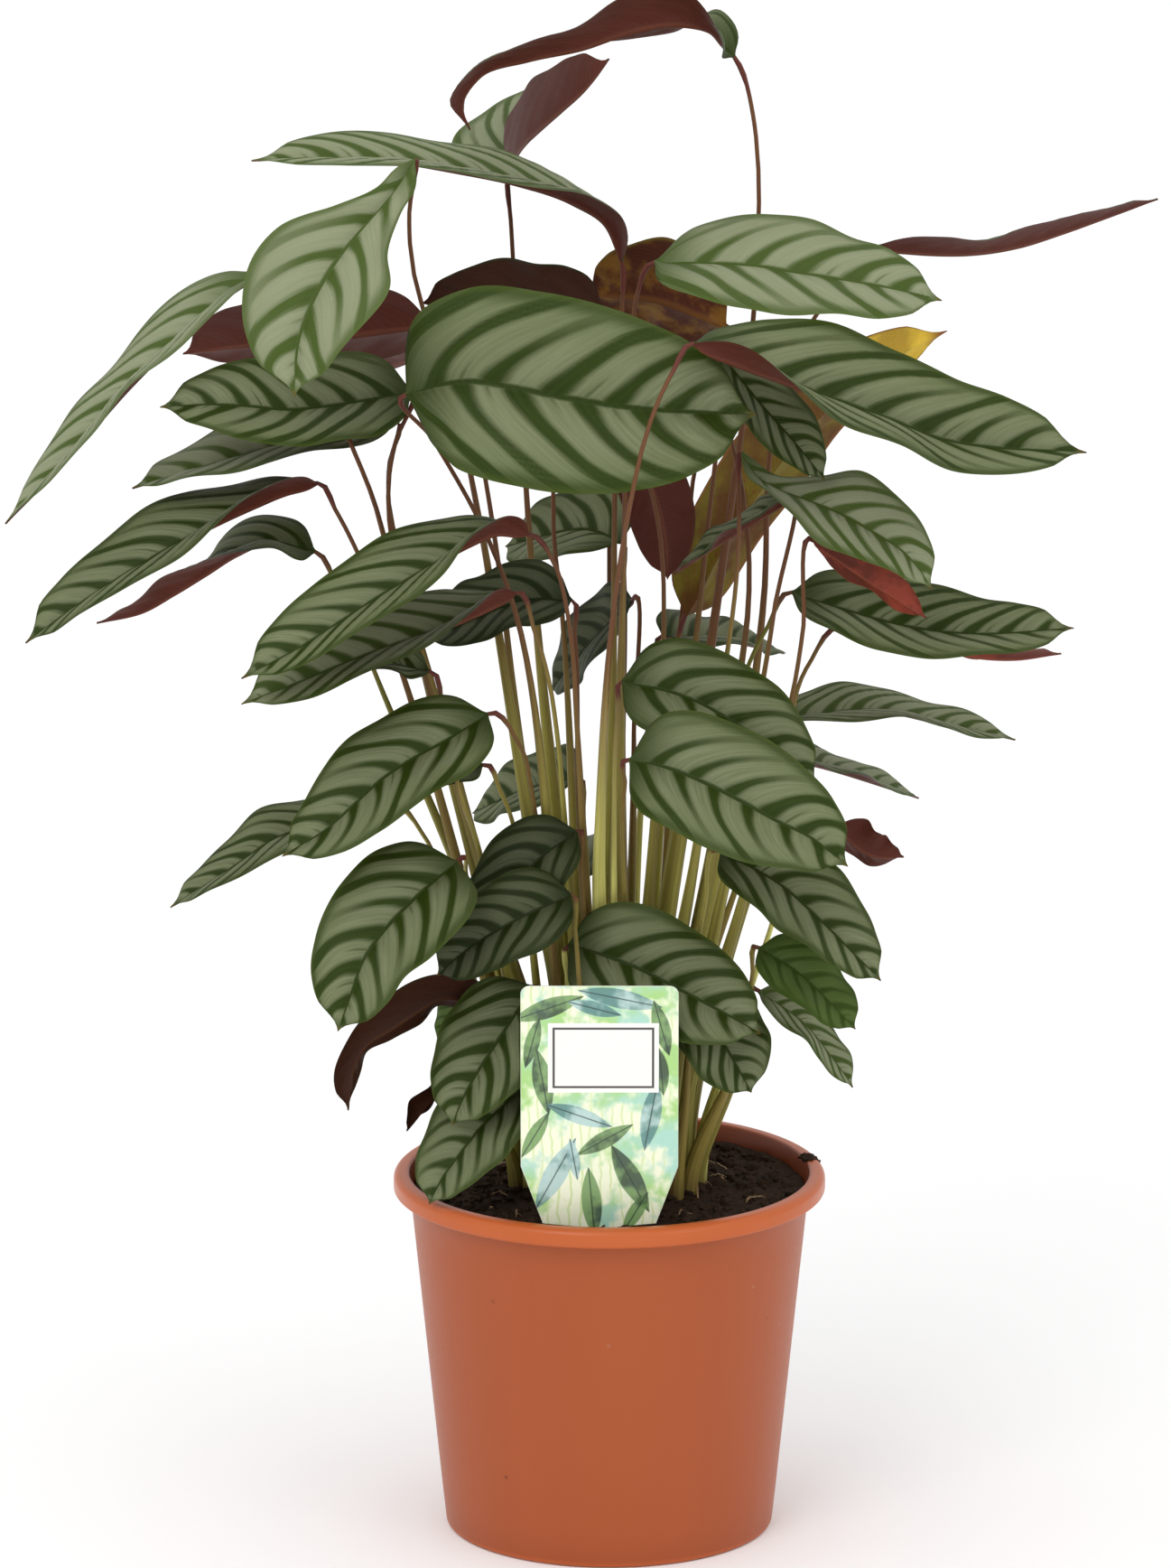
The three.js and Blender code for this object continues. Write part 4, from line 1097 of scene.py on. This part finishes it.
# The tag
TAG_WIDTH = 61 * MM
TAG_ABOVE_SOIL = 101 * MM
TAG_CORNER = 3.5 * MM
TAG_SHOULDER = 27 * MM
TAG_WAIST_WIDTH = 44 * MM
TAG_WAIST = 3.5 * MM
TAG_STAKE_WIDTH = 14 * MM
TAG_STAKE_DEPTH = 26 * MM
TAG_STAKE_TOP = 2 * MM
TAG_POINT_LENGTH = 8 * MM
TAG_POINT_WIDTH = 2 * MM
TAG_THICKNESS = 0.8 * MM
TAG_LEAN = math.radians(4)
TAG_PLACE = Vector((-4, -62, 136.5)) * MM
TAG_BEVEL = 0.15 * MM

# The print's simple leaves: place across and up, heading, length and width in millimetres
SPRIGS = [
    (-17, 24, 62, 34, 9), (-3, 12, 95, 30, 8), (12, 22, 118, 32, 9), (20, 48, 80, 30, 8),
    (-22, 62, 100, 28, 8), (-20, 92, 20, 30, 8), (8, 96, -12, 34, 8), (24, 84, 105, 24, 7),
    (2, 38, 30, 26, 7), (-8, 48, 160, 28, 7), (-25, 40, 60, 22, 6), (14, 8, 60, 20, 6),
    (-10, 30, 100, 18, 5), (24, 66, 95, 20, 6), (-26, 78, 75, 22, 6), (-2, 92, 165, 22, 6),
]
PANEL_LOW = (-20, 57.5)
PANEL_HIGH = (23, 86)
PANEL_FRAME_INSET = 1.8
PANEL_LINE = 0.9
PRINT_BLUR = 0.05


def tag_outline():
    """Anticlockwise from the stake's point, with zero at the soil"""
    half = TAG_WIDTH / 2
    waist = TAG_WAIST_WIDTH / 2
    stake = TAG_STAKE_WIDTH / 2
    top = TAG_ABOVE_SOIL - TAG_CORNER
    right = [
        (TAG_POINT_WIDTH / 2, -TAG_STAKE_DEPTH), (stake, TAG_POINT_LENGTH - TAG_STAKE_DEPTH),
        (stake, TAG_STAKE_TOP), (waist, TAG_WAIST), (half, TAG_SHOULDER)]
    corners = arc(half - TAG_CORNER, top, TAG_CORNER, 0, 90, 8)
    corners += arc(TAG_CORNER - half, top, TAG_CORNER, 90, 180, 8)
    left = [(-x, y) for x, y in reversed(right)]
    return right + corners + left


def sprig_mask(look, x, y, sprig):
    """Where a pointed oval leaf is, and where its midrib is"""
    across, up, heading, length, width = sprig
    angle = math.radians(heading)
    x = look.less(x, across)
    y = look.less(y, up)
    along = look.line(x, math.cos(angle), look.times(y, math.sin(angle)))
    aside = look.line(y, math.cos(angle), look.times(x, -math.sin(angle)))
    share = look.math("DIVIDE", along, length / 2)
    room = look.less(1.0, look.times(share, share))
    limit = look.times(room, width / 2)
    distance = look.math("ABSOLUTE", aside)
    shape = look.away(look.less(distance, limit), -0.35, 0.1)
    rib = look.times(shape, look.away(distance, 0.12, 0.4))
    return shape, rib


def panel_masks(look, x, y):
    """The blank panel, and the thin frame drawn inside its edge"""
    depths = []
    for place, low, high in zip((x, y), PANEL_LOW, PANEL_HIGH):
        from_middle = look.math("ABSOLUTE", look.less(place, (low + high) / 2))
        depths.append(look.less((high - low) / 2, from_middle))
    depth = look.math("MINIMUM", *depths)
    panel = look.step(depth, -PRINT_BLUR, PRINT_BLUR)
    line_end = PANEL_FRAME_INSET + PANEL_LINE
    started = look.step(depth, PANEL_FRAME_INSET - PRINT_BLUR, PANEL_FRAME_INSET + PRINT_BLUR)
    line = look.times(started, look.away(depth, line_end - PRINT_BLUR, line_end + PRINT_BLUR))
    return panel, line


def tag_material():
    """A wash of pale greens with plain leaves, and an empty panel"""
    look = Look("tag_print")
    x, y, _ = look.map("print")
    x = look.times(x, 1000.0)
    y = look.times(y, 1000.0)
    page = look.join(x, y, 0.0)
    wash = look.noise(page, 0.045, 3.0, 0.55)
    bloom = look.noise(look.join(y, x, 4.0), 0.07, 3.0, 0.6)
    colour = look.mix(look.step(wash, 0.38, 0.6), (168, 212, 196), (166, 208, 128))
    colour = look.mix(look.step(bloom, 0.42, 0.58), colour, (236, 240, 212))
    stripes = look.math("SINE", look.line(x, 1.6, look.times(wash, 14.0)))
    stripes = look.times(look.step(stripes, 0.6, 1.0), look.step(bloom, 0.45, 0.6))
    colour = look.mix(look.times(stripes, 0.5), colour, (176, 206, 92))
    for number, sprig in enumerate(SPRIGS):
        shape, rib = sprig_mask(look, x, y, sprig)
        ink = (42, 56, 46) if number % 3 else (84, 128, 126)
        light = (108, 150, 84) if number % 3 else (172, 202, 200)
        leaf = look.mix(look.step(bloom, 0.4, 0.6), ink, light)
        colour = look.mix(look.times(shape, 0.9), colour, leaf)
        colour = look.mix(look.times(rib, 0.8), colour, (38, 54, 48))
    panel, line = panel_masks(look, x, y)
    colour = look.mix(panel, colour, (238, 235, 230))
    colour = look.mix(line, colour, (70, 68, 66))
    look.bump(look.noise(page, 3.0), 0.01 * MM, 0.3)
    return look.finish(colour, 0.32)


def tag_back_material():
    look = Look("tag_back")
    x, y, _ = look.map("print")
    wash = look.noise(look.join(x, y, 0.0), 40.0, 3.0)
    colour = look.mix(wash, (226, 238, 216), (244, 246, 238))
    return look.finish(colour, 0.4)


def make_tag():
    outline = tag_outline()
    count = len(outline)
    centre = Vector((0, TAG_ABOVE_SOIL / 2, 0))
    layers = [(TAG_THICKNESS / 2, TAG_BEVEL), (TAG_THICKNESS / 2 - TAG_BEVEL, 0),
              (TAG_BEVEL - TAG_THICKNESS / 2, 0), (-TAG_THICKNESS / 2, TAG_BEVEL)]
    points = []
    for depth, inset in layers:
        for x, y in outline:
            inward = (centre - Vector((x, y, 0))).normalized() * inset
            up = y + inward.y
            lean_y = -depth * math.cos(TAG_LEAN) - up * math.sin(TAG_LEAN)
            lean_z = -depth * math.sin(TAG_LEAN) + up * math.cos(TAG_LEAN)
            points.append(tuple(TAG_PLACE + Vector((x + inward.x, lean_y, lean_z))))
    faces = [tuple(range(count))]
    for layer in range(3):
        for corner in range(count):
            after = (corner + 1) % count
            faces.append(quad(layer * count, (layer + 1) * count, after, corner))
    faces.append(tuple(range(4 * count - 1, 3 * count - 1, -1)))
    mesh = new_mesh("plant_tag", points, faces)
    layer = mesh.uv_layers.new(name="print")
    for loop in mesh.loops:
        layer.data[loop.index].uv = outline[loop.vertex_index % count]
    mesh.materials.append(tag_material())
    mesh.materials.append(tag_back_material())
    mesh.polygons.foreach_set("material_index", [0] + [1] * (len(faces) - 1))
    declare(add_object("plant_tag", mesh), "tag", "tag")


# Floor, light and camera
FLOOR_SIZE = 60
FLOOR_DROP = 0.2 * MM
CLIP_END = 100
# Name, place, target, size and power
LIGHTS = (("key", (-1.1, -2.3, 2.4), (0, 0, 0.35), 1.5, 24),
          ("fill", (1.8, -2.0, 1.4), (0, 0, 0.3), 1.6, 7))
SKY_HORIZON = 0.72
SKY_RISE = 0.56
SKY_FRONT = 0.12


def make_floor():
    bpy.ops.mesh.primitive_plane_add(size=FLOOR_SIZE, location=(0, 0, -FLOOR_DROP))
    floor = bpy.context.object
    floor.name = "floor"
    look = Look("pale_floor")
    cloud = look.noise(look.place(), 0.6, 2.0)
    colour = look.mix(cloud, (0.9, 0.9, 0.9, 1), (0.92, 0.92, 0.92, 1))
    floor.data.materials.append(look.finish(colour, 0.8))


class Sky(Look):
    """A plain soft surround, brightest overhead and a little brighter in front"""

    def __init__(self, world):
        self.nodes = world.node_tree.nodes
        self.links = world.node_tree.links

    def brightness(self):
        way = self.add("TexCoord").outputs["Generated"]
        _, back, up = self.split(way)
        level = self.line(self.math("MAXIMUM", up, 0.0), SKY_RISE, SKY_HORIZON)
        return self.join(*[self.line(back, -SKY_FRONT, level)] * 3)


def make_light():
    world = bpy.data.worlds.new("studio")
    bpy.context.scene.world = world
    world.use_nodes = True
    background = world.node_tree.nodes["Background"]
    sky = Sky(world)
    background.inputs["Strength"].default_value = 1
    sky.put(background.inputs["Color"], sky.brightness())
    for name, place, target, size, power in LIGHTS:
        data = bpy.data.lights.new(name, "AREA")
        data.shape = "SQUARE"
        data.size = size
        data.energy = power
        light = add_object(name, data)
        light.location = place
        way = Vector(target) - Vector(place)
        light.rotation_euler = way.to_track_quat("-Z", "Y").to_euler()


def make_camera():
    data = bpy.data.cameras.new("camera")
    data.sensor_width = SENSOR
    data.lens = LENS
    data.clip_end = CLIP_END
    camera = add_object("camera", data)
    camera.location = EYE
    camera.rotation_euler = (math.pi / 2 - EYE_TILT, 0, 0)
    bpy.context.scene.camera = camera


make_camera()
make_foliage()
make_pot()
make_soil()
make_tag()
make_floor()
make_light()
bpy.context.scene.view_settings.view_transform = "Standard"
